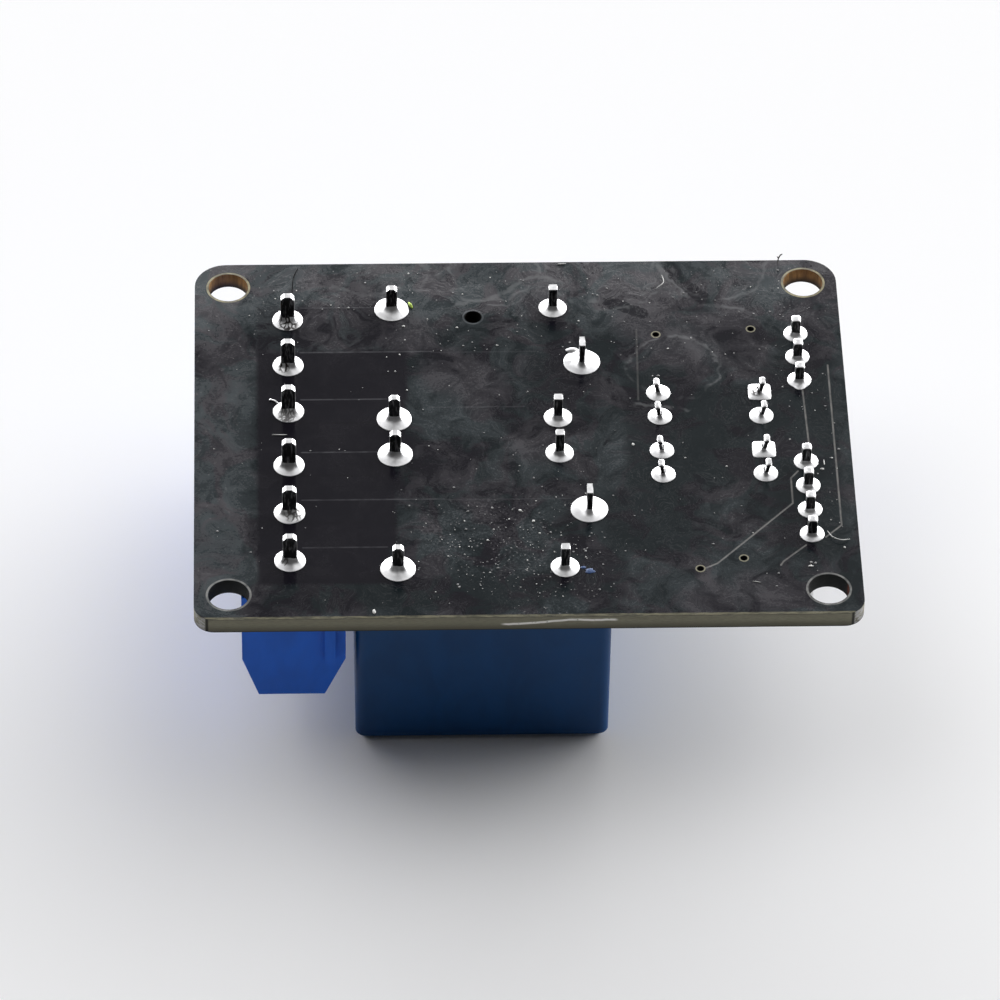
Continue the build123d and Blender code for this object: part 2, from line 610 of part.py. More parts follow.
def opto_body():
    middle = OPTO_STANDOFF + OPTO_HEIGHT / 2
    width = OPTO_ROW_SPACING - 2 * OPTO_TO_LEADS
    outline = Rectangle(width, OPTO_LENGTH)
    body = Pos(0, 0, middle) * extrude(outline, OPTO_HEIGHT / 2, taper=OPTO_DRAFT)
    body += Pos(0, 0, middle) * Rot(180, 0, 0) * extrude(outline, OPTO_HEIGHT / 2, taper=OPTO_DRAFT)
    top = OPTO_STANDOFF + OPTO_HEIGHT
    dot_x = width / 2 - OPTO_DOT_DIAMETER
    dot_y = -(OPTO_LENGTH / 2 - OPTO_DOT_DIAMETER)
    return body - rod(OPTO_DOT_DIAMETER, top - OPTO_DOT_DEPTH, top, dot_x, dot_y)


def opto_lead(side, y):
    """Lead that leaves the body's waist, turns down and splays out past the solder face."""
    half = LEAD_THICKNESS / 2
    waist = OPTO_STANDOFF + OPTO_HEIGHT / 2
    x = OPTO_ROW_SPACING / 2
    body_x = x - OPTO_TO_LEADS
    face, tip = -BOARD_THICKNESS, pin_below(LEAD_RISE)
    shoulder = [(body_x, waist + half), (x + half, waist + half), (x + half, LEAD_SHOULDER_HEIGHT),
                (x - half, LEAD_SHOULDER_HEIGHT), (x - half, waist - half), (body_x, waist - half)]
    leg = [(x - half, LEAD_SHOULDER_HEIGHT), (x + half, LEAD_SHOULDER_HEIGHT), (x + half, face),
           (x + half + LEAD_SPLAY, tip), (x - half + LEAD_SPLAY, tip), (x - half, face)]
    lead = side_profile(shoulder, LEAD_SHOULDER_WIDTH) + side_profile(leg, LEAD_WIDTH)
    turn = Rot(0, 0, 180) if side < 0 else Rot(0, 0, 0)
    return Pos(0, y, 0) * turn * lead


def opto_leads():
    pins = places_in_row(2, OPTO_PIN_PITCH)
    return [opto_lead(side, y) for side in (-1, 1) for y in pins]


# Pin headers and the link cap

def header_body(ways):
    cell = Rectangle(HEADER_PITCH, HEADER_PITCH)
    cell = chamfer(cell.vertices(), HEADER_BODY_CHAMFER)
    body = Part()
    for y in places_in_row(ways, HEADER_PITCH):
        body += Pos(0, y, 0) * extrude(cell, HEADER_BODY_HEIGHT)
    for pin in header_pins(ways):
        body -= pin
    return body


def header_pin(y):
    half = HEADER_PIN_SIDE / 2
    top = HEADER_BODY_HEIGHT + HEADER_PIN_LENGTH
    pin = block(-half, half, y - half, y + half, pin_below(HEADER_PIN_RISE), top)
    ends = pin.faces().sort_by(Axis.Z)
    return chamfer(ends[0].edges() + ends[-1].edges(), HEADER_PIN_TIP)


def header_pins(ways):
    return [header_pin(y) for y in places_in_row(ways, HEADER_PITCH)]


def link_clip_envelope(clearance):
    """Outer block of the clip: one socket round each linked pin, on one back plate."""
    half = HEADER_PIN_SIDE / 2 + LINK_CLIP_CLEARANCE + LINK_CLIP_WALL + clearance
    cap_bottom = HEADER_BODY_HEIGHT + LINK_CAP_SEAT
    bottom = cap_bottom + LINK_CLIP_LIFT - clearance
    top = cap_bottom + LINK_CAP_HEIGHT - LINK_CLIP_BELOW_TOP + clearance
    sockets = [block(-half, half, y - half, y + half, bottom, top)
               for y in places_in_row(2, HEADER_PITCH)]
    bridge = block(-half, -half + LINK_CLIP_WALL + 2 * clearance, -HEADER_PITCH / 2, HEADER_PITCH / 2,
                   bottom, top)
    return sockets[0] + sockets[1] + bridge


def link_clip():
    hole = HEADER_PIN_SIDE / 2 + LINK_CLIP_CLEARANCE
    clip = link_clip_envelope(0)
    box = clip.bounding_box()
    for y in places_in_row(2, HEADER_PITCH):
        clip -= block(-hole, hole, y - hole, y + hole, box.min.Z, box.max.Z)
    return clip


def link_cap():
    """Plastic cap over the clip, with openings for the pins at both ends."""
    bottom = HEADER_BODY_HEIGHT + LINK_CAP_SEAT
    top = bottom + LINK_CAP_HEIGHT
    outline = Rectangle(HEADER_PITCH - LINK_CAP_SEAT, 2 * HEADER_PITCH - LINK_CAP_SEAT)
    outline = chamfer(outline.vertices(), LINK_CAP_CORNER)
    cap = Pos(0, 0, bottom) * extrude(outline, LINK_CAP_HEIGHT)
    cap -= link_clip_envelope(LINK_CLIP_SEAT)
    hole = HEADER_PIN_SIDE / 2 + LINK_CLIP_CLEARANCE
    for y in places_in_row(2, HEADER_PITCH):
        cap -= block(-hole, hole, y - hole, y + hole, bottom, top)
    return cap


# Small parts on the component side

def chip(size, end=CHIP_END, step=CHIP_END_STEP):
    """Chip with two metal ends that stand a little proud."""
    length, width, height = size
    body = block(-length / 2 + end, length / 2 - end, -width / 2 + step, width / 2 - step,
                 step, height - step)
    for side in (-1, 1):
        inner, outer = side * (length / 2 - end), side * length / 2
        body += block(min(inner, outer), max(inner, outer), -width / 2, width / 2, 0, height)
    return body


def gull_legs(body_half, places):
    """Flat legs that leave a small body near its foot and lie on the board."""
    legs = Part()
    for side, y in places:
        root, toe = side * (body_half - GULL_THICKNESS), side * (body_half + GULL_REACH)
        legs += block(min(root, toe), max(root, toe), y - GULL_WIDTH / 2, y + GULL_WIDTH / 2,
                      0, GULL_THICKNESS)
    return legs


def small_body(size):
    length, width, height = size
    body = block(-length / 2, length / 2, -width / 2, width / 2, 0, height)
    return chamfer(body.faces().sort_by(Axis.Z)[-1].edges(), GULL_THICKNESS)


def diode():
    return small_body(DIODE_BODY) + gull_legs(DIODE_BODY[0] / 2, [(-1, 0), (1, 0)])


def transistor():
    legs = [(1, -GULL_PITCH), (1, GULL_PITCH), (-1, 0)]
    return small_body(TRANSISTOR_BODY) + gull_legs(TRANSISTOR_BODY[0] / 2, legs)


def lamp():
    length, width, height = LAMP_BODY
    lens = LAMP_LENS_LENGTH / 2
    base = block(-length / 2, length / 2, -width / 2, width / 2, 0, height - LAMP_LENS_DROP)
    dome = block(-lens, lens, -width / 2, width / 2, height - LAMP_LENS_DROP, height)
    return base + chamfer(dome.faces().sort_by(Axis.Z)[-1].edges(), LAMP_LENS_DROP / 2)


# Solder

def solder_joint(x, y, pad, height, pin_width, pins, square=False):
    """Fillet of solder round a pin: a low skirt, then a steep neck, on a many-sided plan."""
    neck = (pin_width + SOLDER_NECK) / 2
    shoulder = neck + (pad / 2 - neck) * SOLDER_SKIRT_WIDTH
    waist = height * SOLDER_SKIRT_HEIGHT
    outlines = [Pos(0, 0, z) * RegularPolygon(radius, SOLDER_SIDES)
                for radius, z in ((pad / 2, 0), (shoulder, waist), (neck, height))]
    joint = loft([outline.face() for outline in outlines], ruled=True)
    if square:
        side = pad * SQUARE_PAD_RATIO / 2
        joint += block(-side, side, -side, side, 0, PAD_THICKNESS)
    joint = Pos(x, y, SOLDER_FACE) * joint
    for pin in pins:
        joint -= pin
    return joint


def solder_row(places, pad, height, pin_width, pins, squares=()):
    """One joint at each place, each cut by the pin that passes it."""
    joints = []
    for place in places:
        near = [pin for pin in pins if holds_point(pin, place)]
        joints.append(solder_joint(*place, pad, height, pin_width, near, place in squares))
    return joints


def holds_point(shape, place):
    """Whether a pin stands over a place on the board."""
    box = shape.bounding_box()
    x, y = place
    return box.min.X <= x <= box.max.X and box.min.Y <= y <= box.max.Y


# Assembly

def build_nodes():
    nodes = {}

    terminal_strips = []
    cells = places_in_row(TERMINAL_WAYS, TERMINAL_PITCH)
    way = 0
    for number, row_y in enumerate(TERMINAL_ROWS_Y, 1):
        nodes[f"terminal_{number}_housing"] = [on_board(TERMINAL_X, row_y) * terminal_housing()]
        strips = [on_board(TERMINAL_X, row_y + cell) * terminal_contact() for cell in cells]
        nodes[f"terminal_{number}_contacts"] = strips
        terminal_strips += strips
        for cell in reversed(cells):
            way += 1
            place = on_board(TERMINAL_X, row_y + cell)
            nodes[f"terminal_cage_{way}"] = [place * terminal_cage()]
            nodes[f"terminal_screw_{way}"] = [place * terminal_screw()]

    relay_legs = {"contact": [], "coil": [], "common": []}
    for letter, row_y in zip("ab", RELAY_ROWS_Y):
        place = on_board(RELAY_MIDDLE_X, row_y)
        parts = {
            "cover": [relay_cover()],
            "base": [relay_base()],
            "bobbin": [relay_bobbin()],
            "winding": [relay_winding()],
            "core": [relay_core()],
            "yoke": [relay_yoke()],
            "armature": [relay_armature()],
            "contact_spring": [relay_contact_spring()],
            "open_contact": [fixed_contact(-1, True)],
            "closed_contact": [fixed_contact(1, False)],
            "coil_pins": [coil_pin(side) for side in (-1, 1)],
            "common_pin": [relay_common()],
        }
        for name, solids in parts.items():
            nodes[f"relay_{letter}_{name}"] = [place * solid for solid in solids]
        relay_legs["contact"] += [place * contact_pin(side) for side in (-1, 1)]
        relay_legs["coil"] += [place * coil_pin(side) for side in (-1, 1)]
        relay_legs["common"] += [place * common_pin()]

    all_leads = []
    for number, row_y in enumerate(OPTO_ROWS_Y, 1):
        place = on_board(OPTO_X, row_y)
        nodes[f"optocoupler_{number}_body"] = [place * opto_body()]
        leads = [place * lead for lead in opto_leads()]
        nodes[f"optocoupler_{number}_leads"] = leads
        all_leads += leads

    headers = (("link_header", LINK_HEADER_Y, LINK_HEADER_WAYS),
               ("signal_header", SIGNAL_HEADER_Y, SIGNAL_HEADER_WAYS))
    all_posts = []
    for name, y, ways in headers:
        place = on_board(HEADER_X, y)
        nodes[f"{name}_body"] = [place * header_body(ways)]
        posts = [place * pin for pin in header_pins(ways)]
        nodes[f"{name}_pins"] = posts
        all_posts += posts
    link_place = on_board(HEADER_X, LINK_HEADER_Y + HEADER_PITCH / 2)
    nodes["link_cap"] = [link_place * link_cap()]
    nodes["link_clip"] = [link_place * link_clip()]

    small_parts = (("diodes", Rot(0, 0, 90) * diode(), DIODE_PLACES),
                   ("transistors", transistor(), TRANSISTOR_PLACES),
                   ("lamps", lamp(), LAMP_PLACES),
                   ("resistors", Rot(0, 0, 90) * chip(RESISTOR_BODY), RESISTOR_PLACES))
    for name, part, places in small_parts:
        nodes[name] = [on_board(x, y) * part for x, y in past_relays(places)]

    pins = terminal_strips + all_leads + all_posts + sum(relay_legs.values(), [])
    nodes["circuit_board"] = [circuit_board(pins)]
    nodes["terminal_solder"] = solder_row(
        terminal_places(), TERMINAL_PAD, SOLDER_TERMINAL_HEIGHT,
        TERMINAL_PIN_LENGTH_X, terminal_strips)
    nodes["relay_solder"] = (
        solder_row(side_pin_places(CONTACT_PIN_X), CONTACT_PAD, SOLDER_CONTACT_HEIGHT,
                   CONTACT_PIN_LENGTH_X, relay_legs["contact"])
        + solder_row(side_pin_places(COIL_PIN_X), COIL_PAD, SOLDER_COIL_HEIGHT,
                     COIL_PIN_SIDE, relay_legs["coil"])
        + solder_row(common_places(), COMMON_PAD, SOLDER_COMMON_HEIGHT,
                     COMMON_PIN_WIDTH, relay_legs["common"]))
    first_pins = [(OPTO_X + OPTO_ROW_SPACING / 2, row + OPTO_PIN_PITCH / 2) for row in OPTO_ROWS_Y]
    nodes["optocoupler_solder"] = solder_row(
        opto_places(), OPTO_PAD, SOLDER_OPTO_HEIGHT,
        LEAD_WIDTH, all_leads, first_pins)
    nodes["header_solder"] = solder_row(
        header_places(), HEADER_PAD, SOLDER_HEADER_HEIGHT,
        HEADER_PIN_SIDE, all_posts)
    return nodes


os.makedirs("parts", exist_ok=True)
for node, solids in build_nodes().items():
    shape = solids[0] if len(solids) == 1 else Compound(children=solids)
    export_step(shape, f"parts/{node}.step")
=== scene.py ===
"""A relay module board lying on its relays, solder side up: its finishes, solder, wear and stage."""

import functools
import math
import random

import bpy
from bpy.props import FloatProperty, FloatVectorProperty, IntProperty, PointerProperty
from mathutils import Matrix, Vector, noise


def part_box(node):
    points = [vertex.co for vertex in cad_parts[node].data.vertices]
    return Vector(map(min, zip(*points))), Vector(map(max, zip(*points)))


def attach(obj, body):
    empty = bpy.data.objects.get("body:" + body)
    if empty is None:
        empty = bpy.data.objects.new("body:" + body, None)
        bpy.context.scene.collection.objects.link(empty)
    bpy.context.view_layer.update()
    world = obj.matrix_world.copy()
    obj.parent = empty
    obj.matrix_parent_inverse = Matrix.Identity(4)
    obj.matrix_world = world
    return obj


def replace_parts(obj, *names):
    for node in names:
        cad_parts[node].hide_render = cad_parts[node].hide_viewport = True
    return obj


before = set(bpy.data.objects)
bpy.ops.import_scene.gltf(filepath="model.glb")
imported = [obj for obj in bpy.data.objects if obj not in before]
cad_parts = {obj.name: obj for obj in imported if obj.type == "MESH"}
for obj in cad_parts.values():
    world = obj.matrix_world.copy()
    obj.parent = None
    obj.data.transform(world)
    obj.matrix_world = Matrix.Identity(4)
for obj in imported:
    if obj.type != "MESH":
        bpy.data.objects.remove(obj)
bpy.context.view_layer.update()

bl_info = {
    "name": "Relay module board",
    "version": (1, 0, 0),
    "blender": (4, 5, 0),
    "location": "View3D > Sidebar > Relay board",
    "description": "Dresses a relay module board with its finishes, solder joints, wear and a photo stage",
    "category": "Object",
}

MM = 0.001


def in_mm(vector):
    """The vector's numbers in millimetres, as a plain Vector."""
    return Vector(vector) / MM


def node_box(name):
    """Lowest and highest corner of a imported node, in millimetres."""
    low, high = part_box(name)
    return in_mm(low), in_mm(high)


BOARD_LOW, BOARD_HIGH = node_box("circuit_board")
SOLDER_FACE = BOARD_HIGH.z
COMPONENT_FACE = BOARD_LOW.z

# Places of the pins and pads on the board, in millimetres
TERMINAL_X = -17.45
TERMINAL_ROWS = (12.73, 7.73, 2.73, -3.03, -8.03, -13.03)
CONTACT_X = -9.54
COIL_X = 2.72
RELAY_PIN_ROWS = (13.83, 1.83, -1.96, -13.96)
COMMON_PLACES = ((4.72, 7.83), (4.72, -7.96))
OPTO_COLUMNS = (10.36, 17.98)
OPTO_ROWS = (4.38, 1.84, -1.805, -4.345)
SQUARE_PADS = ((17.98, 4.38), (17.98, -1.805))
HEADER_X = 21.05
HEADER_ROWS = (10.74, 8.20, 5.66, -3.13, -5.67, -8.21, -10.75)
VIAS = ((10.45, 10.82), (17.68, 11.34), (12.64, -14.23), (15.89, -13.19))
SPARE_HOLE = (-3.37, 12.94)
MOUNT_HOLES = tuple((x, y) for x in (-21.95, 21.95) for y in (-16.45, 16.45))
OPTO_PLACES = tuple((x, y) for x in OPTO_COLUMNS for y in OPTO_ROWS)
HEADER_PLACES = tuple((HEADER_X, y) for y in HEADER_ROWS)
RELAY_PLACES = tuple((x, y) for x in (CONTACT_X, COIL_X) for y in RELAY_PIN_ROWS) + COMMON_PLACES
TERMINAL_PLACES = tuple((TERMINAL_X, y) for y in TERMINAL_ROWS)

# Widths and heights of the joints, in millimetres
TERMINAL_PAD = 2.3
CONTACT_PAD = 2.6
COIL_PAD = 2.1
COMMON_PAD = 2.75
SMALL_PAD = 1.8
TERMINAL_PIN = (1.0, 0.5, 2.6)
CONTACT_PIN = (0.8, 0.5, 2.3)
COIL_PIN = (0.6, 0.6, 2.2)
COMMON_PIN = (0.4, 1.0, 2.2)
LEAD_PIN = (0.25, 0.5, 1.3)
HEADER_PIN = (0.64, 0.64, 1.65)
WIRE_PITCH = 0.12


# Shader expressions

class Value:
    """A socket that can be used in Python expressions, each of which adds its Math nodes."""

    def __init__(self, nodes, socket):
        self.nodes = nodes
        self.socket = socket

    def math(self, operation, *others, swap=False, clamp=False):
        operands = [*others, self] if swap else [self, *others]
        settings = {"operation": operation, "use_clamp": clamp}
        return self.nodes.node("ShaderNodeMath", settings, dict(enumerate(operands)))

    def __add__(self, other):
        return self.math("ADD", other)

    __radd__ = __add__

    def __sub__(self, other):
        return self.math("SUBTRACT", other)

    def __rsub__(self, other):
        return self.math("SUBTRACT", other, swap=True)

    def __mul__(self, other):
        return self.math("MULTIPLY", other)

    __rmul__ = __mul__

    def __gt__(self, other):
        return self.math("GREATER_THAN", other)

    def __lt__(self, other):
        return self.math("LESS_THAN", other)

    def __abs__(self):
        return self.math("ABSOLUTE")

    def least(self, other):
        return self.math("MINIMUM", other)

    def most(self, other):
        return self.math("MAXIMUM", other)

    def clamped(self):
        return self.math("ADD", 0.0, clamp=True)

    def ramp(self, start, end):
        """0 at the start value and 1 at the end value, eased between them."""
        settings = {"interpolation_type": "SMOOTHSTEP"}
        return self.nodes.node("ShaderNodeMapRange", settings, {0: self, 1: start, 2: end})


class Nodes:
    """A node tree that is put together from expressions."""

    def __init__(self, tree):
        self.tree = tree

    def node(self, kind, settings=None, inputs=None, output=0):
        """Adds a node with its settings first, then its inputs, and returns one output."""
        node = self.tree.nodes.new(kind)
        for name, setting in (settings or {}).items():
            setattr(node, name, setting)
        for name, entry in (inputs or {}).items():
            self.feed(node.inputs[name], entry)
        return Value(self, node.outputs[output])

    def feed(self, socket, entry):
        if isinstance(entry, Value):
            self.tree.links.new(entry.socket, socket)
        elif socket.type == "RGBA":
            socket.default_value = (*entry, 1.0) if len(entry) == 3 else entry
        else:
            socket.default_value = entry

    def split(self, vector):
        node = self.node("ShaderNodeSeparateXYZ", inputs={0: vector}).socket.node
        return [Value(self, socket) for socket in node.outputs]

    def vector(self, operation, first, others, output=0):
        """A Vector Math node; the others are its further inputs by number or name."""
        return self.node("ShaderNodeVectorMath", {"operation": operation}, {0: first, **others}, output)

    def mix(self, amount, first, second):
        """A colour between two colours."""
        return self.node("ShaderNodeMix", {"data_type": "RGBA"}, {0: amount, 6: first, 7: second}, output=2)

    def between(self, amount, first, second):
        """A number between two numbers."""
        return self.node("ShaderNodeMix", {"data_type": "FLOAT"}, {0: amount, 2: first, 3: second})

    def highest(self, values):
        """The greatest of several values."""
        return functools.reduce(Value.most, values)


class Sky(Nodes):
    """The light of the studio, as a brightness for each direction."""

    def __init__(self, world):
        world.use_nodes = True
        super().__init__(world.node_tree)
        way = self.node("ShaderNodeTexCoord", output="Generated")
        self.way = self.vector("NORMALIZE", way, {})
        self.height = self.split(self.way)[2]

    def towards(self, azimuth, elevation):
        """Cosine of the angle from a direction; azimuth runs from the right over the back."""
        flat = math.cos(elevation)
        centre = (math.cos(azimuth) * flat, math.sin(azimuth) * flat, math.sin(elevation))
        return self.vector("DOT_PRODUCT", self.way, {1: centre}, output="Value")

    def lobe(self, azimuth, elevation, inner, outer):
        """1 within the inner angle of a direction, 0 beyond the outer angle, all in degrees."""
        centre = self.towards(math.radians(azimuth), math.radians(elevation))
        return centre.ramp(math.cos(math.radians(outer)), math.cos(math.radians(inner)))

    def shine(self, strength, colour):
        background = self.tree.nodes["Background"]
        self.feed(background.inputs["Color"], colour)
        self.feed(background.inputs["Strength"], strength)


class Finish(Nodes):
    """A material that is put together from expressions."""

    def __init__(self, name):
        self.material = bpy.data.materials.new(name)
        self.material.use_nodes = True
        super().__init__(self.material.node_tree)
        self.shader = self.tree.nodes["Principled BSDF"]
        place = self.node("ShaderNodeTexCoord", output="Object")
        self.place = self.vector("SCALE", place, {"Scale": 1 / MM})
        self.flat = self.vector("MULTIPLY", self.place, {1: (1, 1, 0)})
        self.x, self.y, self.z = self.split(self.place)
        self.normal = self.split(self.node("ShaderNodeTexCoord", output="Normal"))

    def moved(self, factors):
        """The place on the piece, in millimetres, stretched by a factor for each axis."""
        return self.vector("MULTIPLY", self.place, {1: factors})

    def warped(self, scale, strength):
        """The place seen from above, pushed about by a slow noise."""
        push = self.node("ShaderNodeTexNoise", None, {"Vector": self.flat, "Scale": scale, "Detail": 2.0},
                         output="Color")
        push = self.vector("SUBTRACT", push, {1: (0.5, 0.5, 0.5)})
        return self.vector("MULTIPLY_ADD", push, {1: (strength, strength, 0.0), 2: self.flat})

    def distance(self, point, place=None):
        """Distance from a point, in millimetres."""
        return self.vector("DISTANCE", place or self.place, {1: point}, output="Value")

    def noise(self, scale, detail=3.0, roughness=0.5, distortion=0.0, place=None):
        inputs = {"Vector": place or self.place, "Scale": scale, "Detail": detail,
                  "Roughness": roughness, "Distortion": distortion}
        return self.node("ShaderNodeTexNoise", None, inputs)

    def cells(self, scale, feature="F1", place=None):
        inputs = {"Vector": place or self.place, "Scale": scale}
        return self.node("ShaderNodeTexVoronoi", {"feature": feature}, inputs, output="Distance")

    def stripes(self, points, half_width, place=None, soft=0.05):
        """1 along a run of straight lines through the points, 0 away from it."""
        place = place or self.flat
        nearest = None
        for start, end in zip(points, points[1:]):
            start, end = Vector((*start, 0.0)), Vector((*end, 0.0))
            run = end - start
            from_start = self.vector("SUBTRACT", place, {1: start})
            along = self.vector("DOT_PRODUCT", from_start, {1: run / run.length_squared}, output="Value")
            run_node = self.node("ShaderNodeCombineXYZ", None, dict(enumerate(run)))
            on_line = self.vector("SCALE", run_node, {"Scale": along.clamped()})
            gap = self.vector("DISTANCE", from_start, {1: on_line}, output="Value")
            nearest = gap if nearest is None else nearest.least(gap)
        return 1 - nearest.ramp(half_width, half_width + soft)

    def patch(self, low, high, soft=0.3, place=None):
        """1 inside an upright rectangle on the board, 0 outside it."""
        x, y = self.split(place)[:2] if place else (self.x, self.y)
        middle = [(a + b) / 2 for a, b in zip(low, high)]
        half = [(b - a) / 2 for a, b in zip(low, high)]
        outside = (abs(x - middle[0]) - half[0]).most(abs(y - middle[1]) - half[1])
        return 1 - outside.ramp(0.0, soft)

    def near(self, places, radius, soft, place=None):
        """1 within a radius of any of the places, 0 away from them."""
        gaps = [self.distance((x, y, 0.0), place or self.flat) for x, y in places]
        return 1 - functools.reduce(Value.least, gaps).ramp(radius, radius + soft)

    def ring(self, places, inner, outer):
        """1 on rings round the places, 0 inside and outside them."""
        return self.near(places, outer, 0.03) * (1 - self.near(places, inner, 0.03))

    def bump(self, height, strength, distance=0.05):
        """A relief; the distance that a height of 1 stands up is in millimetres."""
        inputs = {"Height": height, "Strength": strength, "Distance": distance * MM}
        return self.node("ShaderNodeBump", None, inputs)

    def surface(self, **inputs):
        """Feeds the shader's sockets, named with underscores for spaces."""
        for name, entry in inputs.items():
            self.feed(self.shader.inputs[name.replace("_", " ")], entry)
        return self.material


# Mesh building

class Shape:
    """Points and faces in millimetres that become one piece."""

    def __init__(self):
        self.points = []
        self.faces = []

    def rings(self, rings, cap_first=False, cap_last=True):
        """A skin through rings of equally many points, with its ends closed if asked."""
        count = len(rings[0])
        starts = []
        for ring in rings:
            starts.append(len(self.points))
            self.points.extend(Vector(point) for point in ring)
        for low, high in zip(starts, starts[1:]):
            for i in range(count):
                j = (i + 1) % count
                self.faces.append((low + i, low + j, high + j, high + i))
        if cap_first:
            self.faces.append(tuple(starts[0] + i for i in reversed(range(count))))
        if cap_last:
            self.faces.append(tuple(starts[-1] + i for i in range(count)))

    def tube(self, path, radius, sides=8, taper=1.0):
        """A round thread along a path of points; taper is the width left at its ends."""
        rings = []
        last = len(path) - 1
        for i, point in enumerate(path):
            along = (Vector(path[min(i + 1, last)]) - Vector(path[max(i - 1, 0)])).normalized()
            across = along.orthogonal().normalized()
            other = along.cross(across)
            edge = min(i, last - i) / max(last, 1) * 4
            width = radius * (taper + (1 - taper) * min(edge, 1.0))
            rings.append([
                Vector(point) + width * (math.cos(a) * across + math.sin(a) * other)
                for a in circle_angles(sides)])
        self.rings(rings, cap_first=True)

    def lump(self, centre, radii, seed, sides=20, roughness=0.25):
        """An uneven rounded lump."""
        rings = []
        rows = sides // 2
        for row in range(1, rows):
            tilt = math.pi * (row / rows - 0.5)
            ring = []
            for a in circle_angles(sides):
                way = Vector((math.cos(a) * math.cos(tilt), math.sin(a) * math.cos(tilt), math.sin(tilt)))
                swell = 1 + roughness * noise.noise(way * 1.6 + Vector((seed, 2 * seed, 0)))
                ring.append([c + w * r * swell for c, w, r in zip(centre, way, radii)])
            rings.append(ring)
        self.rings(rings, cap_first=True)

    def piece(self, name, finish, slot):
        """Makes the piece, gives it its finish and lets it ride on the board."""
        mesh = bpy.data.meshes.new(name)
        mesh.from_pydata([point * MM for point in self.points], [], self.faces)
        mesh.validate()
        mesh.update()
        mesh.shade_smooth()
        mesh.materials.append(finish)
        piece = bpy.data.objects.new(name, mesh)
        bpy.context.scene.collection.objects.link(piece)
        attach(piece, "board")
        return piece


def circle_angles(count):
    """Evenly spread angles, once round."""
    return [math.tau * i / count for i in range(count)]


def curved_path(points, steps=8):
    """A smooth path through a few points."""
    points = [Vector(point) for point in points]
    padded = [2 * points[0] - points[1], *points, 2 * points[-1] - points[-2]]
    path = []
    for a, b, c, d in zip(padded, padded[1:], padded[2:], padded[3:]):
        for step in range(steps):
            t = step / steps
            path.append(0.5 * (2 * b + (c - a) * t + (2 * a - 5 * b + 4 * c - d) * t * t
                               + (3 * b - a - 3 * c + d) * t ** 3))
    path.append(points[-1])
    return path


def rounded_outline(half_x, half_y, angle, sharpness):
    """Distance from the middle to the edge of a rounded rectangle, in the direction of the angle."""
    across = abs(math.cos(angle) / half_x) ** sharpness + abs(math.sin(angle) / half_y) ** sharpness
    return across ** (-1 / sharpness)


# Sizes and colours that a user may change

class SolderSettings(bpy.types.PropertyGroup):
    """How the solder joints stand."""
    terminal_height: FloatProperty(
        name="Terminal joints", description="Height of the solder round the terminal pins",
        default=0.62 * MM, min=0.2 * MM, max=0.8 * MM, unit="LENGTH")
    contact_height: FloatProperty(
        name="Contact joints", description="Height of the solder round the relay contact pins",
        default=0.62 * MM, min=0.2 * MM, max=0.8 * MM, unit="LENGTH")
    coil_height: FloatProperty(
        name="Coil joints", description="Height of the solder round the coil and common pins",
        default=0.55 * MM, min=0.2 * MM, max=0.7 * MM, unit="LENGTH")
    lead_height: FloatProperty(
        name="Lead joints", description="Height of the solder round the optocoupler leads",
        default=0.42 * MM, min=0.2 * MM, max=0.5 * MM, unit="LENGTH")
    header_height: FloatProperty(
        name="Header joints", description="Height of the solder round the header pins",
        default=0.46 * MM, min=0.2 * MM, max=0.6 * MM, unit="LENGTH")
    coat: FloatProperty(
        name="Coat", description="Thickness of the solder left on the pins",
        default=0.035 * MM, min=0.01 * MM, max=0.1 * MM, unit="LENGTH")
    colour: FloatVectorProperty(
        name="Colour", description="Colour of the solder",
        default=(0.90, 0.90, 0.905), subtype="COLOR", min=0.0, max=1.0)
    hollow: FloatProperty(
        name="Hollow", description="How steeply the solder climbs close to the pin",
        default=3.4, min=1.0, max=6.0)


class BoardSettings(bpy.types.PropertyGroup):
    """The look of the bare board."""
    copper_mask: FloatVectorProperty(
        name="Mask over copper", description="Colour of the solder mask where smooth copper lies under it",
        default=(0.0065, 0.0058, 0.0095), subtype="COLOR", min=0.0, max=1.0)
    dark_mask: FloatVectorProperty(
        name="Dark mask", description="Colour of the clean solder mask",
        default=(0.0068, 0.0110, 0.0130), subtype="COLOR", min=0.0, max=1.0)
    grey_bloom: FloatVectorProperty(
        name="Grey bloom", description="Colour of the washed flux on the mask, where it is grey",
        default=(0.050, 0.046, 0.053), subtype="COLOR", min=0.0, max=1.0)
    green_bloom: FloatVectorProperty(
        name="Green bloom", description="Colour of the washed flux on the mask, where it is green",
        default=(0.037, 0.048, 0.054), subtype="COLOR", min=0.0, max=1.0)
    laminate: FloatVectorProperty(
        name="Laminate", description="Colour of the cut edge of the laminate",
        default=(0.23, 0.22, 0.16), subtype="COLOR", min=0.0, max=1.0)
    hole_wall: FloatVectorProperty(
        name="Hole wall", description="Colour of the drilled walls of the mounting holes",
        default=(0.42, 0.23, 0.075), subtype="COLOR", min=0.0, max=1.0)
    ink: FloatVectorProperty(
        name="Ink", description="Colour of the printed outlines on the component side",
        default=(0.72, 0.72, 0.70), subtype="COLOR", min=0.0, max=1.0)
    specks: IntProperty(
        name="Specks", description="Number of solder specks and dust grains lying on the board",
        default=760, min=0, max=1200)


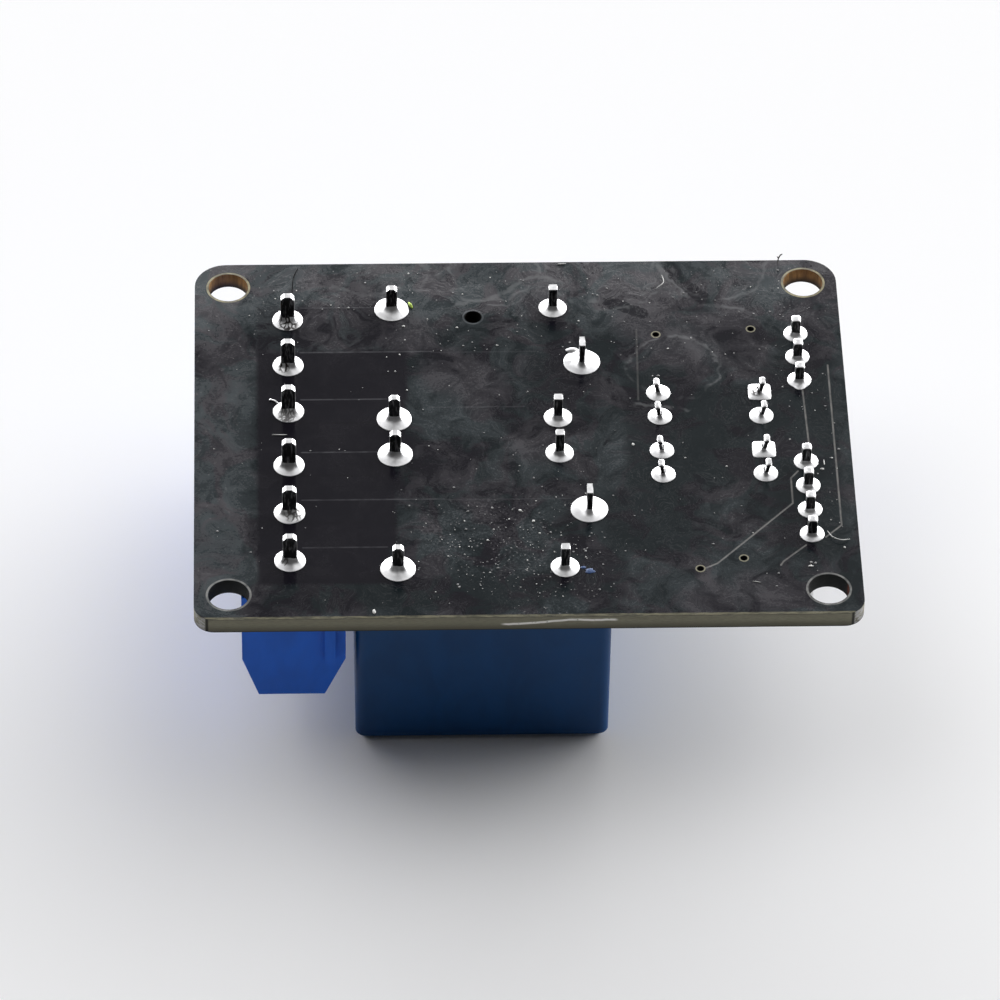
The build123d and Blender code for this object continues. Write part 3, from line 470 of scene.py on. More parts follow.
class PlasticSettings(bpy.types.PropertyGroup):
    """Colours of the mouldings."""
    terminal: FloatVectorProperty(
        name="Terminals", description="Colour of the screw terminal housings",
        default=(0.004, 0.112, 0.60), subtype="COLOR", min=0.0, max=1.0)
    relay: FloatVectorProperty(
        name="Relays", description="Colour of the relay covers",
        default=(0.003, 0.050, 0.165), subtype="COLOR", min=0.0, max=1.0)
    cap: FloatVectorProperty(
        name="Link cap", description="Colour of the link cap",
        default=(0.01, 0.07, 0.40), subtype="COLOR", min=0.0, max=1.0)


class StageSettings(bpy.types.PropertyGroup):
    """The floor, the light and the camera."""
    elevation: FloatProperty(
        name="Elevation", description="How far the camera looks down",
        default=math.radians(44.630), subtype="ANGLE", unit="ROTATION")
    azimuth: FloatProperty(
        name="Azimuth", description="How far the camera stands to the right of the front",
        default=math.radians(-2.400), subtype="ANGLE", unit="ROTATION")
    roll: FloatProperty(
        name="Roll", description="Turn of the camera about its line of sight",
        default=math.radians(1.121), subtype="ANGLE", unit="ROTATION")
    distance: FloatProperty(
        name="Distance", description="From the camera to the point that it looks at",
        default=524.51 * MM, unit="LENGTH")
    target: FloatVectorProperty(
        name="Target", description="The point in the middle of the picture",
        default=(-1.866 * MM, -6.875 * MM, 16.5 * MM), subtype="XYZ", unit="LENGTH")
    lens: FloatProperty(
        name="Lens", description="Focal length in millimetres on a 36 mm wide sensor",
        default=255.09, min=1.0)
    floor_size: FloatProperty(
        name="Floor", description="Width of the floor",
        default=4.0, unit="LENGTH")
    floor: FloatVectorProperty(
        name="Floor colour", description="Colour of the floor",
        default=(0.96, 0.96, 0.962), subtype="COLOR", min=0.0, max=1.0)
    back_strip: FloatProperty(
        name="Back strip", description="Brightness of the low strip of light behind the object",
        default=9.0, min=0.0)
    back_wall: FloatProperty(
        name="Back wall", description="Brightness of the wide band of light above the strip",
        default=7.6, min=0.0)
    left_box: FloatProperty(
        name="Left softbox", description="Brightness of the softbox high on the left",
        default=1.5, min=0.0)
    right_box: FloatProperty(
        name="Right softbox", description="Brightness of the softbox on the right",
        default=1.2, min=0.0)
    back_box: FloatProperty(
        name="Back softbox", description="Brightness of the softbox halfway up behind the object",
        default=0.20, min=0.0)
    haze: FloatProperty(
        name="Haze", description="Brightness of the rest of the room",
        default=0.04, min=0.0)


SETTINGS = {
    "relay_board_solder": SolderSettings,
    "relay_board_board": BoardSettings,
    "relay_board_plastic": PlasticSettings,
    "relay_board_stage": StageSettings,
}


# Finishes

# Marks on the solder side, in millimetres on the board; a zone is two corners, a swirl a middle and a radius
COPPER_ZONES = (
    ((-19.55, -15.2), (-10.35, 14.0)),
    ((-11.0, 4.05), (-8.75, 9.1)),
    ((-11.0, -1.6), (-8.95, 4.2)),
    ((-11.0, -11.6), (-9.8, -1.4)),
)
CLEAN_ZONES = (
    ((18.9, -12.4), (22.9, 6.9)),
    ((8.3, -5.9), (11.4, 6.2)),
    ((11.8, -4.6), (17.0, 4.6)),
    ((-18.0, -17.6), (0.5, -15.6)),
    ((1.3, 3.6), (5.0, 8.6)),
    ((2.2, -16.4), (6.6, -12.6)),
    ((6.4, -12.0), (12.2, -6.6)),
)
GREY_PLACES = ((-5.4, 7.2), (-3.2, 5.6), (12.2, 9.8), (15.4, 11.4), (9.6, 12.2), (16.8, 8.6), (1.2, -0.6),
               (13.4, -17.6), (17.0, -16.6), (-8.4, 10.9))
SPECKLED_PLACES = ((-4.6, -10.4), (-2.2, -12.6), (0.2, -14.6), (-1.2, -9.6), (2.0, -17.0))
SWIRLS = ((-1.6, 18.3, 3.3), (-1.6, 18.3, 4.1), (6.9, 18.1, 3.7), (6.9, 18.1, 4.5), (15.6, 18.3, 3.5),
          (-9.4, 17.6, 2.6), (11.6, 7.2, 3.4))
LIGHT_ARCS = (
    ((-4.6, 14.4), (-2.0, 14.95), (-0.6, 15.8), (0.5, 17.0), (1.6, 17.5), (3.1, 16.9)),
    ((10.9, 18.7), (11.9, 16.6), (13.6, 14.2), (17.2, 13.5)),
    ((-13.9, 16.4), (-11.2, 15.4), (-9.0, 16.2)),
    ((8.7, 3.3), (10.2, 3.0), (12.6, 2.5)),
)
DARK_BANDS = (
    ((11.7, 18.6), (12.6, 16.6), (14.2, 14.7)),
    ((18.3, 11.0), (20.3, 9.2), (21.8, 7.3)),
    ((7.2, 14.3), (9.4, 13.2)),
)
# Painted highlights and shadows along the edges of the wide copper, where its raised edges would catch light
# or cast shade: place across the board, from, to and strength (above 0 a painted highlight, below 0 a
# painted shadow)
COPPER_EDGES = (
    (14.10, -16.5, -10.8, 0.9), (9.18, -16.5, -6.6, 1.0), (9.08, -6.6, 1.2, 0.3), (4.03, -16.5, -10.1, 0.9),
    (3.08, -7.0, 0.2, 0.45), (-1.64, -16.5, -10.9, 0.9), (-6.70, -16.5, -6.0, 0.8), (-6.78, -6.0, 3.4, 0.4),
    (-11.67, -16.5, -10.3, 0.6), (11.65, -16.0, -12.4, -0.5), (6.72, -14.2, -9.0, -0.9),
    (1.50, -16.6, -11.3, -0.7), (-4.10, -16.6, -10.7, -0.7), (-9.08, -16.7, -10.4, -0.8),
    (-9.25, -10.4, -1.9, -0.6), (13.2, 13.1, 18.4, 0.3),
)
CLEARANCE_RUNS = (
    ((23.30, 7.29), (23.29, -9.86), (22.05, -11.09)),
    ((21.24, 4.70), (21.40, -2.2)),
    ((20.39, -4.12), (19.83, -4.85), (19.82, -7.5), (13.95, -13.68), (13.05, -14.15)),
    ((20.53, -11.9), (18.81, -13.54), (18.57, -13.95)),
)
FAINT_CLEARANCE = ((9.00, 11.4), (8.95, 9.0), (8.83, 3.7))
# Torn fibres on the front edge: from and to, depth below the solder face, run and height of their climb
TORN_EDGE = (-1.65, 6.5)
TORN_DEPTH = 0.74
TORN_CLIMB = (5.0, 0.36)
EDGE_NOTCHES = (-23.55, 23.6)
RUST_PLACE = (23.6, -16.6)
BARE_RIM = 0.25

# Colours of small marks and worn places, and of painted shade, shadow and highlight
FLUX_LINE = (0.165, 0.170, 0.175)
GRIT = (0.21, 0.20, 0.20)
# Painted highlight and painted shadow for the edges of the copper
COPPER_EDGE_HIGHLIGHT = (0.12, 0.12, 0.13)
COPPER_EDGE_SHADOW = (0.0015, 0.0015, 0.002)
CLEARANCE = (0.22, 0.215, 0.205)
VIA_RIM = (0.33, 0.31, 0.22)
SPARE_RIM = (0.16, 0.17, 0.18)
FRONT_HOLE_RIM = (0.26, 0.26, 0.25)
REAR_HOLE_RIM = (0.42, 0.38, 0.24)
BARE_LAMINATE = ((0.070, 0.068, 0.050), (0.165, 0.155, 0.105))
TORN_GLASS = (0.88, 0.86, 0.82)
CORNER_GLASS = (0.40, 0.40, 0.41)
# Painted shade of the notches in the front edge
NOTCH_SHADE = (0.006, 0.006, 0.006)
# Painted shade inside the vias and the spare hole
NARROW_HOLE_SHADE = (0.010, 0.009, 0.008)
# Painted shade deep in the rear holes and on the front holes' walls
DEEP_WALL_SHADE = (0.045, 0.032, 0.018)
FRONT_WALL_SHADE = (0.011, 0.013, 0.013)
RUST = (0.16, 0.035, 0.012)
BURNT_FLUX = (0.016, 0.009, 0.007)
# Painted shade and dark reflection on the pins' free front and back faces, with lighter streaks
PIN_FACE_SHADE = (0.035, 0.035, 0.037)
SHADED_PIN_STREAK = (0.30, 0.30, 0.31)
PAD_TIN = (0.62, 0.62, 0.60)
CHIP_TIN = (0.72, 0.72, 0.71)
DUST = (0.5, 0.5, 0.5)


def shade(colour, factor):
    """The colour made darker by a factor."""
    return tuple(c * factor for c in colour)


def board_finish(look):
    """Washed solder mask on both faces, cut laminate at the edges and in the holes."""
    finish = Finish("board_finish")
    mask_face = abs(finish.normal[2]).ramp(0.4, 0.6)
    solder_side = finish.normal[2].ramp(0.4, 0.6)
    colour, gloss, relief = washed_mask(finish, look)
    under = finish.mix(component_print(finish), look.dark_mask, look.ink)
    under = finish.mix(component_pads(finish), under, PAD_TIN)
    colour = finish.mix(solder_side, under, colour)
    cut, fibres = cut_edges(finish, look)
    colour = finish.mix(mask_face, cut, colour)
    bare = (finish.y < BOARD_LOW.y + BARE_RIM) * solder_side
    streaks = finish.noise(2.0, 3.0, 0.6, place=finish.moved((0.5, 2.0, 1.0)))
    rim = finish.mix(streaks.ramp(0.35, 0.65), *BARE_LAMINATE)
    colour = finish.mix(bare * mask_face, colour, rim)
    roughness = finish.between(mask_face, 0.75, gloss)
    height = finish.between(mask_face, fibres * 1.5, relief)
    return finish.surface(
        Base_Color=colour, Roughness=roughness, Normal=finish.bump(height, 0.3, 0.05),
        Specular_IOR_Level=0.25)


def washed_mask(finish, look):
    """Colour, roughness and relief of the solder mask and the bloom that washed flux leaves on it."""
    bent = finish.warped(0.22, 5.0)
    curled = finish.warped(0.7, 1.5)
    frayed = finish.warped(1.4, 0.9)
    broad = finish.noise(0.17, 4.0, 0.55, place=bent)
    smear = finish.noise(0.62, 5.0, 0.62, 0.7, place=bent)
    fine = finish.noise(5.0, 4.0, 0.65, place=finish.flat)

    def zone(zones, soft, place=None):
        return finish.highest([finish.patch(low, high, soft, place) for low, high in zones])

    copper = zone(COPPER_ZONES, 0.5) * (1 - finish.y.ramp(8.9, 9.6) * smear.ramp(0.40, 0.56) * 0.75)
    clean = zone(CLEAN_ZONES, 1.3, curled)
    clean = clean.most(finish.highest([finish.stripes(band, 0.42, frayed, 0.3) for band in DARK_BANDS]))
    grey = finish.near(GREY_PLACES, 1.5, 1.6, curled)
    cloud = finish.near(SPECKLED_PLACES, 1.4, 3.2)
    # The bloom grows lighter, and its lines and grit stronger, towards the rear and the left edge
    rear = finish.y.ramp(10.5, 16.5)
    left = 1 - finish.x.ramp(-22.0, -19.2)

    grain = (fine - 0.5) * 1.1
    bloom = ((broad - 0.5) * 1.7 + (smear - 0.5) * 1.6 + grain * 0.5 + rear * 0.5 + left * 0.38
             + cloud * (0.20 + grain) + grey * 0.20 + 0.18)
    bloom = (bloom * (1 - clean * 0.8)).clamped() * (1 - copper * 0.86)
    green = finish.noise(0.24, 3.0, 0.6, 0.8, place=bent).ramp(0.43, 0.55)
    green = green * (1 - grey * 0.85) * (1 - copper)
    clear = finish.mix(green, look.copper_mask, look.dark_mask)
    colour = finish.mix(bloom, clear, finish.mix(green, look.grey_bloom, look.green_bloom))

    contours = finish.highest([1 - abs(smear - level).ramp(0.0, 0.010) for level in (0.43, 0.5, 0.57)])
    rings = finish.highest([
        1 - abs(finish.distance((x, y, 0.0), curled) - radius).ramp(0.03, 0.22)
        for x, y, radius in SWIRLS])
    arcs = finish.highest([finish.stripes(arc, 0.05, frayed, 0.25) for arc in LIGHT_ARCS])
    lines = (contours * (0.25 + rear * 0.4)).most(rings * smear.ramp(0.40, 0.58) * 0.7).most(arcs * 0.8)
    lines = lines * (1 - copper) * broad.ramp(0.36, 0.52)
    colour = finish.mix(lines * 0.5, colour, FLUX_LINE)

    dots = 1 - finish.cells(2.6, place=finish.flat).ramp(0.10, 0.26)
    grit = dots * fine.ramp(0.48, 0.60) * (cloud * 0.9 + rear * 0.45 + left * 0.3 + 0.12) * (1 - copper)
    colour = finish.mix(grit * 0.55, colour, GRIT)

    colour, gaps = copper_marks(finish, colour)
    gloss = 0.17 + bloom * 0.20 + (fine - 0.5) * 0.10 + lines * 0.08
    relief = broad * 0.5 + smear * 0.25 + fine * 0.12 + grit * 0.5 + lines * 0.3 + gaps * -0.5
    return rims(finish, colour), gloss, relief


def copper_marks(finish, colour):
    """The colour with painted highlights and shadows drawn along the edges of the copper, and where its
    clearances are.
    """
    faint = finish.noise(1.1, 3.0, 0.6).ramp(0.30, 0.62)
    # Each copper edge is drawn as a painted highlight or a painted shadow line
    for row, start, end, strength in COPPER_EDGES:
        line = finish.stripes([(start, row), (end, row)], 0.02, None, 0.09) * (abs(strength) * 0.5)
        tone = COPPER_EDGE_HIGHLIGHT if strength > 0 else COPPER_EDGE_SHADOW
        colour = finish.mix(line * (0.35 + faint * 0.65), colour, tone)
    gaps = finish.highest([finish.stripes(run, 0.035, None, 0.06) for run in CLEARANCE_RUNS])
    gaps = gaps.most(finish.stripes(FAINT_CLEARANCE, 0.03, None, 0.08) * 0.3)
    return finish.mix(gaps * (0.45 + faint * 0.35), colour, CLEARANCE), gaps


def rims(finish, colour):
    """The colour with the rims of the vias, the spare hole and the mounting holes drawn on it."""
    vias = finish.ring(VIAS, 0.26, 0.36)
    spare = finish.ring([SPARE_HOLE], 0.68, 0.80)
    uneven = 0.45 + finish.noise(1.3, 2.0, place=finish.flat).ramp(0.35, 0.65) * 0.55
    colour = finish.mix(vias * 0.75, colour, VIA_RIM)
    colour = finish.mix(spare * uneven * 0.5, colour, SPARE_RIM)
    tone = finish.mix(finish.y > 0.0, FRONT_HOLE_RIM, REAR_HOLE_RIM)
    return finish.mix(finish.ring(MOUNT_HOLES, 1.50, 1.66) * uneven * 0.85, colour, tone)


def cut_edges(finish, look):
    """Colour and fibres of the sawn edge, the corners and the drilled holes."""
    fibres = finish.noise(1.0, 3.0, 0.6, place=finish.moved((2.2, 2.2, 26.0)))
    share = (finish.z - COMPONENT_FACE) * (1 / (SOLDER_FACE - COMPONENT_FACE))
    # Painted shade: the cut edge darker towards the component face; its fibres take the same dark tone
    shade_and_fibre = shade(look.laminate, 0.42)
    cut = finish.mix(share.ramp(0.05, 0.65), shade_and_fibre, look.laminate)
    cut = finish.mix(fibres.ramp(0.35, 0.7) * 0.45, cut, shade_and_fibre)
    glass = finish.noise(2.6, 3.0, 0.6, place=finish.moved((1.0, 1.0, 2.0)))
    wave = finish.noise(0.5, 2.0, 0.5, place=finish.moved((1.0, 0.0, 0.0)))
    first, last = TORN_EDGE
    run, height = TORN_CLIMB
    middle = SOLDER_FACE - TORN_DEPTH + finish.x.ramp(first, first + run) * height + (wave - 0.5) * 0.3
    reach = finish.x.ramp(first - 0.6, first) * (1 - finish.x.ramp(last - 0.4, last))
    torn = (1 - abs(finish.z - middle).ramp(0.05, 0.15)) * reach * glass.ramp(0.26, 0.44)
    cut = finish.mix(torn * 0.9, cut, TORN_GLASS)
    fore = 1 - finish.y.ramp(-18.6, -17.6)
    corner = abs(finish.x).ramp(23.6, 23.75) * fore
    cut = finish.mix(corner * glass.ramp(0.35, 0.6) * 0.8, cut, CORNER_GLASS)
    # Painted shade of the notches in the front edge
    notch_shading = finish.highest([1 - abs(finish.x - x).ramp(0.05, 0.16) for x in EDGE_NOTCHES]) * fore
    cut = finish.mix(notch_shading * 0.9, cut, NOTCH_SHADE)
    skin = (finish.z > SOLDER_FACE - 0.04).most(finish.z < COMPONENT_FACE + 0.08)
    cut = finish.mix(skin * 0.8, cut, look.dark_mask)

    cut = finish.mix(finish.near(MOUNT_HOLES, 1.62, 0.05), cut, hole_walls(finish, look, share))
    # Painted shade inside the vias and the spare hole
    return finish.mix(finish.near([*VIAS, SPARE_HOLE], 0.72, 0.02), cut, NARROW_HOLE_SHADE), fibres


def hole_walls(finish, look, share):
    """Amber walls in the rear mounting holes, darker deeper down as painted shade; the front ones painted
    dark as shade, with rust in the right one.
    """
    streak = finish.noise(3.0, 3.0, 0.7, place=finish.moved((1.0, 1.0, 0.12))).ramp(0.35, 0.68)
    amber = finish.mix(streak, shade(look.hole_wall, 0.55), look.hole_wall)
    # Painted shade: the wall darker deeper down in the hole
    amber = finish.mix(share.ramp(0.05, 0.6), DEEP_WALL_SHADE, amber)
    rust = finish.near([RUST_PLACE], 0.5, 0.5) * streak
    # Painted shade on the front holes' walls, with rust on the right one
    front_shade_and_rust = finish.mix(rust, FRONT_WALL_SHADE, RUST)
    return finish.mix(finish.y > 0.0, front_shade_and_rust, amber)


def component_print(finish):
    """White outlines round the components on the hidden side."""
    lines = []
    for name in ("terminal_1_housing", "terminal_2_housing", "relay_a_cover", "relay_b_cover",
                 "optocoupler_1_body", "optocoupler_2_body", "link_header_body", "signal_header_body"):
        low, high = node_box(name)
        outer, inner = (
            finish.patch((low.x - margin, low.y - margin), (high.x + margin, high.y + margin), 0.02)
            for margin in (0.22, 0.08))
        lines.append(outer * (1 - inner))
    return finish.highest(lines)


def component_pads(finish):
    """Tinned rings and pads on the hidden side."""
    chip_ends = []
    for name in ("diodes", "transistors", "lamps", "resistors"):
        for low, high in islands(name):
            x, y = (low.x + high.x) / 2, (low.y + high.y) / 2
            long_x = high.x - low.x > high.y - low.y
            chip_ends += [(low.x, y), (high.x, y)] if long_x else [(x, low.y), (x, high.y)]
    return finish.highest([
        finish.near(HEADER_PLACES + OPTO_PLACES, SMALL_PAD / 2, 0.02), finish.near(VIAS, 0.36, 0.02),
        finish.near(chip_ends, 0.45, 0.02)])


@functools.cache
def islands(node):
    """Lowest and highest corners, in millimetres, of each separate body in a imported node's mesh."""
    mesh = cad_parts[node].data
    root = list(range(len(mesh.vertices)))

    def leader(i):
        while root[i] != i:
            root[i] = root[root[i]]
            i = root[i]
        return i
    for edge in mesh.edges:
        a, b = (leader(i) for i in edge.vertices)
        root[a] = b
    groups = {}
    for vertex in mesh.vertices:
        key = tuple(round(c, 7) for c in mesh.vertices[leader(vertex.index)].co)
        groups.setdefault(key, []).append(in_mm(vertex.co))
    boxes = [(Vector(map(min, zip(*points))), Vector(map(max, zip(*points)))) for points in groups.values()]
    return merged(boxes)


def merged(boxes):
    """Boxes that touch one another, put together."""
    whole = []
    for low, high in boxes:
        rest = []
        for other_low, other_high in whole:
            if all(a <= d + 0.01 and c <= b + 0.01 for a, b, c, d in zip(low, high, other_low, other_high)):
                low = Vector(map(min, zip(low, other_low)))
                high = Vector(map(max, zip(high, other_high)))
            else:
                rest.append((other_low, other_high))
        whole = [*rest, (low, high)]
    return whole


def solder_finish(look, name="solder_finish", burnt=()):
    """Satin solder with a soft grain, and burnt flux on the joints that were reheated."""
    finish = Finish(name)
    cloudy = finish.noise(1.6, 3.0, 0.55)
    grain = finish.noise(9.0, 2.0, 0.5)
    colour = finish.mix(cloudy.ramp(0.35, 0.7), shade(look.colour, 0.82), look.colour)
    rough = 0.40 + cloudy.ramp(0.3, 0.75) * 0.10
    metallic = 1.0
    if burnt:
        bent = finish.warped(1.9, 0.5)
        veins = 1 - finish.cells(2.7, "DISTANCE_TO_EDGE", bent).ramp(0.08, 0.15)
        char = 0.0
        for x, y, radius, strength, place in burnt:
            spot = finish.near([(x, y)], radius * 0.6, radius * 0.5) * strength
            char = (spot * veins).most(char) if place == "veins" else (spot * 0.75).most(char)
        char = (char * (finish.z < SOLDER_FACE + 0.8)).clamped()
        colour = finish.mix(char, colour, BURNT_FLUX)
        metallic = 1 - char
        rough = rough + char * 0.1
    return finish.surface(
        Base_Color=colour, Metallic=metallic, Roughness=rough,
        Normal=finish.bump(cloudy * 0.7 + grain * 0.3, 0.22, 0.03))


def pin_finish(look):
    """Tinned pins: bright below the board and at their tips; their free front and back faces carry a painted
    dark reflection and shade, streaked lighter.
    """
    finish = Finish("tinned_pins")
    cloudy = finish.noise(1.3, 3.0, 0.55)
    streaks = finish.noise(6.5, 3.0, 0.6, place=finish.moved((1.0, 1.0, 0.16)))
    bright = finish.mix(cloudy.ramp(0.35, 0.7), shade(look.colour, 0.66), shade(look.colour, 0.86))
    # Painted shade and dark reflection on the free front and back faces, streaked lighter
    face_shade = finish.mix(streaks.ramp(0.50, 0.68), PIN_FACE_SHADE, SHADED_PIN_STREAK)
    free = finish.z.ramp(SOLDER_FACE + 0.1, SOLDER_FACE + 0.5)
    side = abs(finish.normal[1]).ramp(0.66, 0.90) * (1 - finish.normal[2].ramp(0.55, 0.85))
    shaded_face = free * side
    return finish.surface(
        Base_Color=finish.mix(shaded_face, bright, face_shade), Metallic=1.0,
        Roughness=0.34 + shaded_face * 0.10 + cloudy * 0.06, Normal=finish.bump(streaks, 0.15, 0.02))


def metal_finish(name, colour, roughness, stretch=(1.0, 1.0, 1.0), wear=0.12):
    """A plated or rolled metal with a grain that runs along one axis and slightly uneven gloss."""
    finish = Finish(name)
    grain = finish.noise(6.0, 4.0, 0.6, place=finish.moved(stretch))
    cloud = finish.noise(0.9, 3.0, 0.6)
    tone = finish.mix(cloud.ramp(0.3, 0.75), shade(colour, 0.7), colour)
    tone = finish.mix(grain.ramp(0.35, 0.75) * 0.3, tone, shade(colour, 0.6))
    rough = roughness - wear / 2 + cloud.ramp(0.3, 0.7) * wear + grain * 0.08
    return finish.surface(Base_Color=tone, Metallic=1.0, Roughness=rough,
                          Normal=finish.bump(grain, 0.15, 0.02))


def moulded_finish(name, colour, roughness=0.4, grain=14.0, relief=0.18, dust=0.05, sheen=0.5, metal=None):
    """A moulding with a fine grain and a little dust; metal gives a mask and colour for its metal ends."""
    finish = Finish(name)
    fine = finish.noise(grain, 3.0, 0.6)
    flow = finish.noise(0.35, 3.0, 0.55, 0.6, place=finish.moved((1.0, 1.0, 0.45)))
    scuff = finish.noise(2.4, 5.0, 0.7, place=finish.moved((0.6, 1.0, 1.8)))
    base = finish.mix(flow.ramp(0.3, 0.7), shade(colour, 0.82), colour)
    marks = scuff.ramp(0.62, 0.78)
    base = finish.mix(marks * dust, base, DUST)
    rough = roughness + fine.ramp(0.3, 0.7) * 0.10 + marks * 0.12
    metallic = 0.0
    if metal:
        mask, metal_colour = metal(finish)
        base = finish.mix(mask, base, metal_colour)
        rough = finish.between(mask, rough, 0.34)
        metallic = mask
    return finish.surface(Base_Color=base, Roughness=rough, Metallic=metallic, Specular_IOR_Level=sheen,
                          Normal=finish.bump(fine * 0.5 + flow * 0.5, relief, 0.03))


def terminals_of(node, reach):
    """A mask for the metal ends of a node's small chips, which reach in by so much from each end."""
    def mask(finish):
        bodies = []
        for low, high in islands(node):
            long_x = high.x - low.x > high.y - low.y
            inset = (reach, -1.0) if long_x else (-1.0, reach)
            bodies.append(finish.patch((low.x + inset[0], low.y + inset[1]),
                                       (high.x - inset[0], high.y - inset[1]), 0.01))
        return 1 - finish.highest(bodies), CHIP_TIN
    return mask


def winding_finish():
    """Fine enamelled copper wire in level turns."""
    finish = Finish("copper_winding")
    low = node_box("relay_a_winding")[0]
    turns = ((finish.z - low.z) * (math.tau / WIRE_PITCH)).math("SINE")
    uneven = finish.noise(1.1, 2.0, 0.5)
    # Painted light and shade: the wire colour swings from dark to light across each turn
    colour = finish.mix(turns * 0.5 + 0.5, (0.20, 0.055, 0.016), (0.72, 0.27, 0.10))
    colour = finish.mix(uneven.ramp(0.45, 0.75) * 0.4, colour, (0.40, 0.12, 0.04))
    return finish.surface(Base_Color=colour, Metallic=0.9, Roughness=0.28 + uneven * 0.12,
                          Normal=finish.bump(turns, 0.8, 0.05))


def lamp_finish():
    """Milky resin over a lamp chip, on its white body with tinned ends."""
    finish = Finish("lamp_resin")
    haze = finish.noise(5.0, 3.0, 0.6)
    low, high = node_box("lamps")
    lens = finish.z < (low.z + high.z) / 2
    colour = finish.mix(lens, (0.72, 0.70, 0.62), finish.mix(haze, (0.55, 0.50, 0.36), (0.75, 0.72, 0.60)))
    ends, tin = terminals_of("lamps", 0.3)(finish)
    ends = ends * (1 - lens)
    return finish.surface(Base_Color=finish.mix(ends, colour, tin), Metallic=ends,
                          Roughness=0.22 + haze * 0.12, Coat_Weight=lens * 0.6,
                          Normal=finish.bump(haze, 0.1, 0.02))


# Operators

def dress(node, material):
    """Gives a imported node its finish."""
    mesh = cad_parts[node].data
    mesh.materials.clear()
    mesh.materials.append(material)


class RELAYBOARD_OT_stage(bpy.types.Operator):
    """Sets the floor, the light and the camera"""
    bl_idname = "relay_board.stage"
    bl_label = "Stage"

    def execute(self, context):
        look = context.scene.relay_board_stage
        self.floor(look)
        self.light(context, look)
        self.camera(context, look)
        context.scene.view_settings.view_transform = "Standard"
        return {"FINISHED"}

    def floor(self, look):
        half = look.floor_size / 2
        mesh = bpy.data.meshes.new("floor")
        mesh.from_pydata([(-half, -half, 0), (half, -half, 0), (half, half, 0), (-half, half, 0)],
                         [], [(0, 1, 2, 3)])
        finish = Finish("floor_paper")
        fibre = finish.noise(1.2, 3.0, 0.6)
        colour = finish.mix(fibre, shade(look.floor, 0.995), look.floor)
        mesh.materials.append(finish.surface(Base_Color=colour, Roughness=0.9, Specular_IOR_Level=0.1))
        floor = bpy.data.objects.new("floor", mesh)
        bpy.context.scene.collection.objects.link(floor)

    def light(self, context, look):
        """A strip of light low behind the object, and softboxes above it."""
        world = bpy.data.worlds.new("studio")
        context.scene.world = world
        sky = Sky(world)
        above = sky.height > -0.02
        back = sky.towards(math.radians(75), 0.0)
        spread = back.ramp(0.0, 0.55) * 0.45 + back.ramp(0.4, 0.85) * 0.55
        strength = (above * (1 - sky.height.ramp(0.04, 0.34)) * spread * look.back_strip
                    + above * (1 - sky.height.ramp(0.10, 0.62)) * back.ramp(0.0, 0.6) * look.back_wall
                    + sky.lobe(160, 55, 8, 32) * look.left_box
                    + sky.lobe(35, 50, 10, 40) * look.right_box
                    + sky.lobe(90, 45, 10, 35) * look.back_box
                    + look.haze)
        sky.shine(strength, (0.992, 0.992, 1.0))

    def camera(self, context, look):
        el, az, roll = look.elevation, look.azimuth, look.roll
        back = Vector((math.sin(az) * math.cos(el), -math.cos(az) * math.cos(el), math.sin(el)))
        level = Vector((math.cos(az), math.sin(az), 0.0))
        upright = back.cross(level)
        side = level * math.cos(roll) + upright * math.sin(roll)
        top = upright * math.cos(roll) - level * math.sin(roll)
        data = bpy.data.cameras.new("photo_camera")
        data.sensor_width = 36.0
        data.lens = look.lens
        data.clip_start = 0.01
        data.clip_end = 10.0
        camera = bpy.data.objects.new("photo_camera", data)
        turn = Matrix((side, top, back)).transposed()
        camera.matrix_world = Matrix.Translation(Vector(look.target) + back * look.distance) @ turn.to_4x4()
        context.scene.collection.objects.link(camera)
        context.scene.camera = camera


class RELAYBOARD_OT_board(bpy.types.Operator):
    """Finishes the bare board: mask, copper edges, stains, rims and cut edges"""
    bl_idname = "relay_board.board"
    bl_label = "Board"

    def execute(self, context):
        dress("circuit_board", board_finish(context.scene.relay_board_board))
        return {"FINISHED"}


def solder_joint(shape, place, pad, pin, height, hollow, seed, square=False, lobes=0.0):
    """One fillet of solder from its pad up to its pin, with an uneven edge and climb."""
    x0, y0 = place
    pin_x, pin_y = pin[0] / 2 + 0.04, pin[1] / 2 + 0.04
    sharp_pad = 7.0 if square else 2.0
    half = pad / 2 * (0.95 if square else 1.0)
    sides = 64
    steps = (0.0, 0.0, 0.02, 0.06, 0.14, 0.24, 0.36, 0.5, 0.62, 0.72, 0.81, 0.88, 0.94, 0.98, 1.0)
    rim, swell, shoulder = 0.05, 0.07, 0.10
    rings = []
    for row, step in enumerate(steps):
        ring = []
        for angle in circle_angles(sides):
            way = Vector((math.cos(angle), math.sin(angle), 0.0))
            ripple = noise.noise(way * 1.1 + Vector((seed * 7.1, seed, 0.0)))
            point = lobes * max(0.0, math.cos(3 * (angle + math.pi / 2))) * max(0.0, -way.y + 0.4)
            outer = rounded_outline(half, half, angle, sharp_pad) * (1 + 0.022 * ripple + point)
            inner = rounded_outline(pin_x, pin_y, angle, 4.0)
            reach = outer + (inner - outer) * step
            climb = height * (1 + 0.15 * noise.noise(way * 0.9 + Vector((0.0, seed * 3.3, 5.0))))
            crown = swell * math.sin(math.pi / 2 * min(step * 2.2, 1.0))
            dent = 0.02 * noise.noise(way * (2.2 * reach) + Vector((seed * 5.0, 0.0, 2.0)))
            rise = 0.0 if row == 0 else (
                rim + crown + (climb - rim - shoulder) * step ** hollow + dent * step * (1 - step) * 4)
            ring.append((x0 + way.x * reach, y0 + way.y * reach, SOLDER_FACE + rise))
        rings.append(ring)
    shape.rings(rings, cap_last=False)


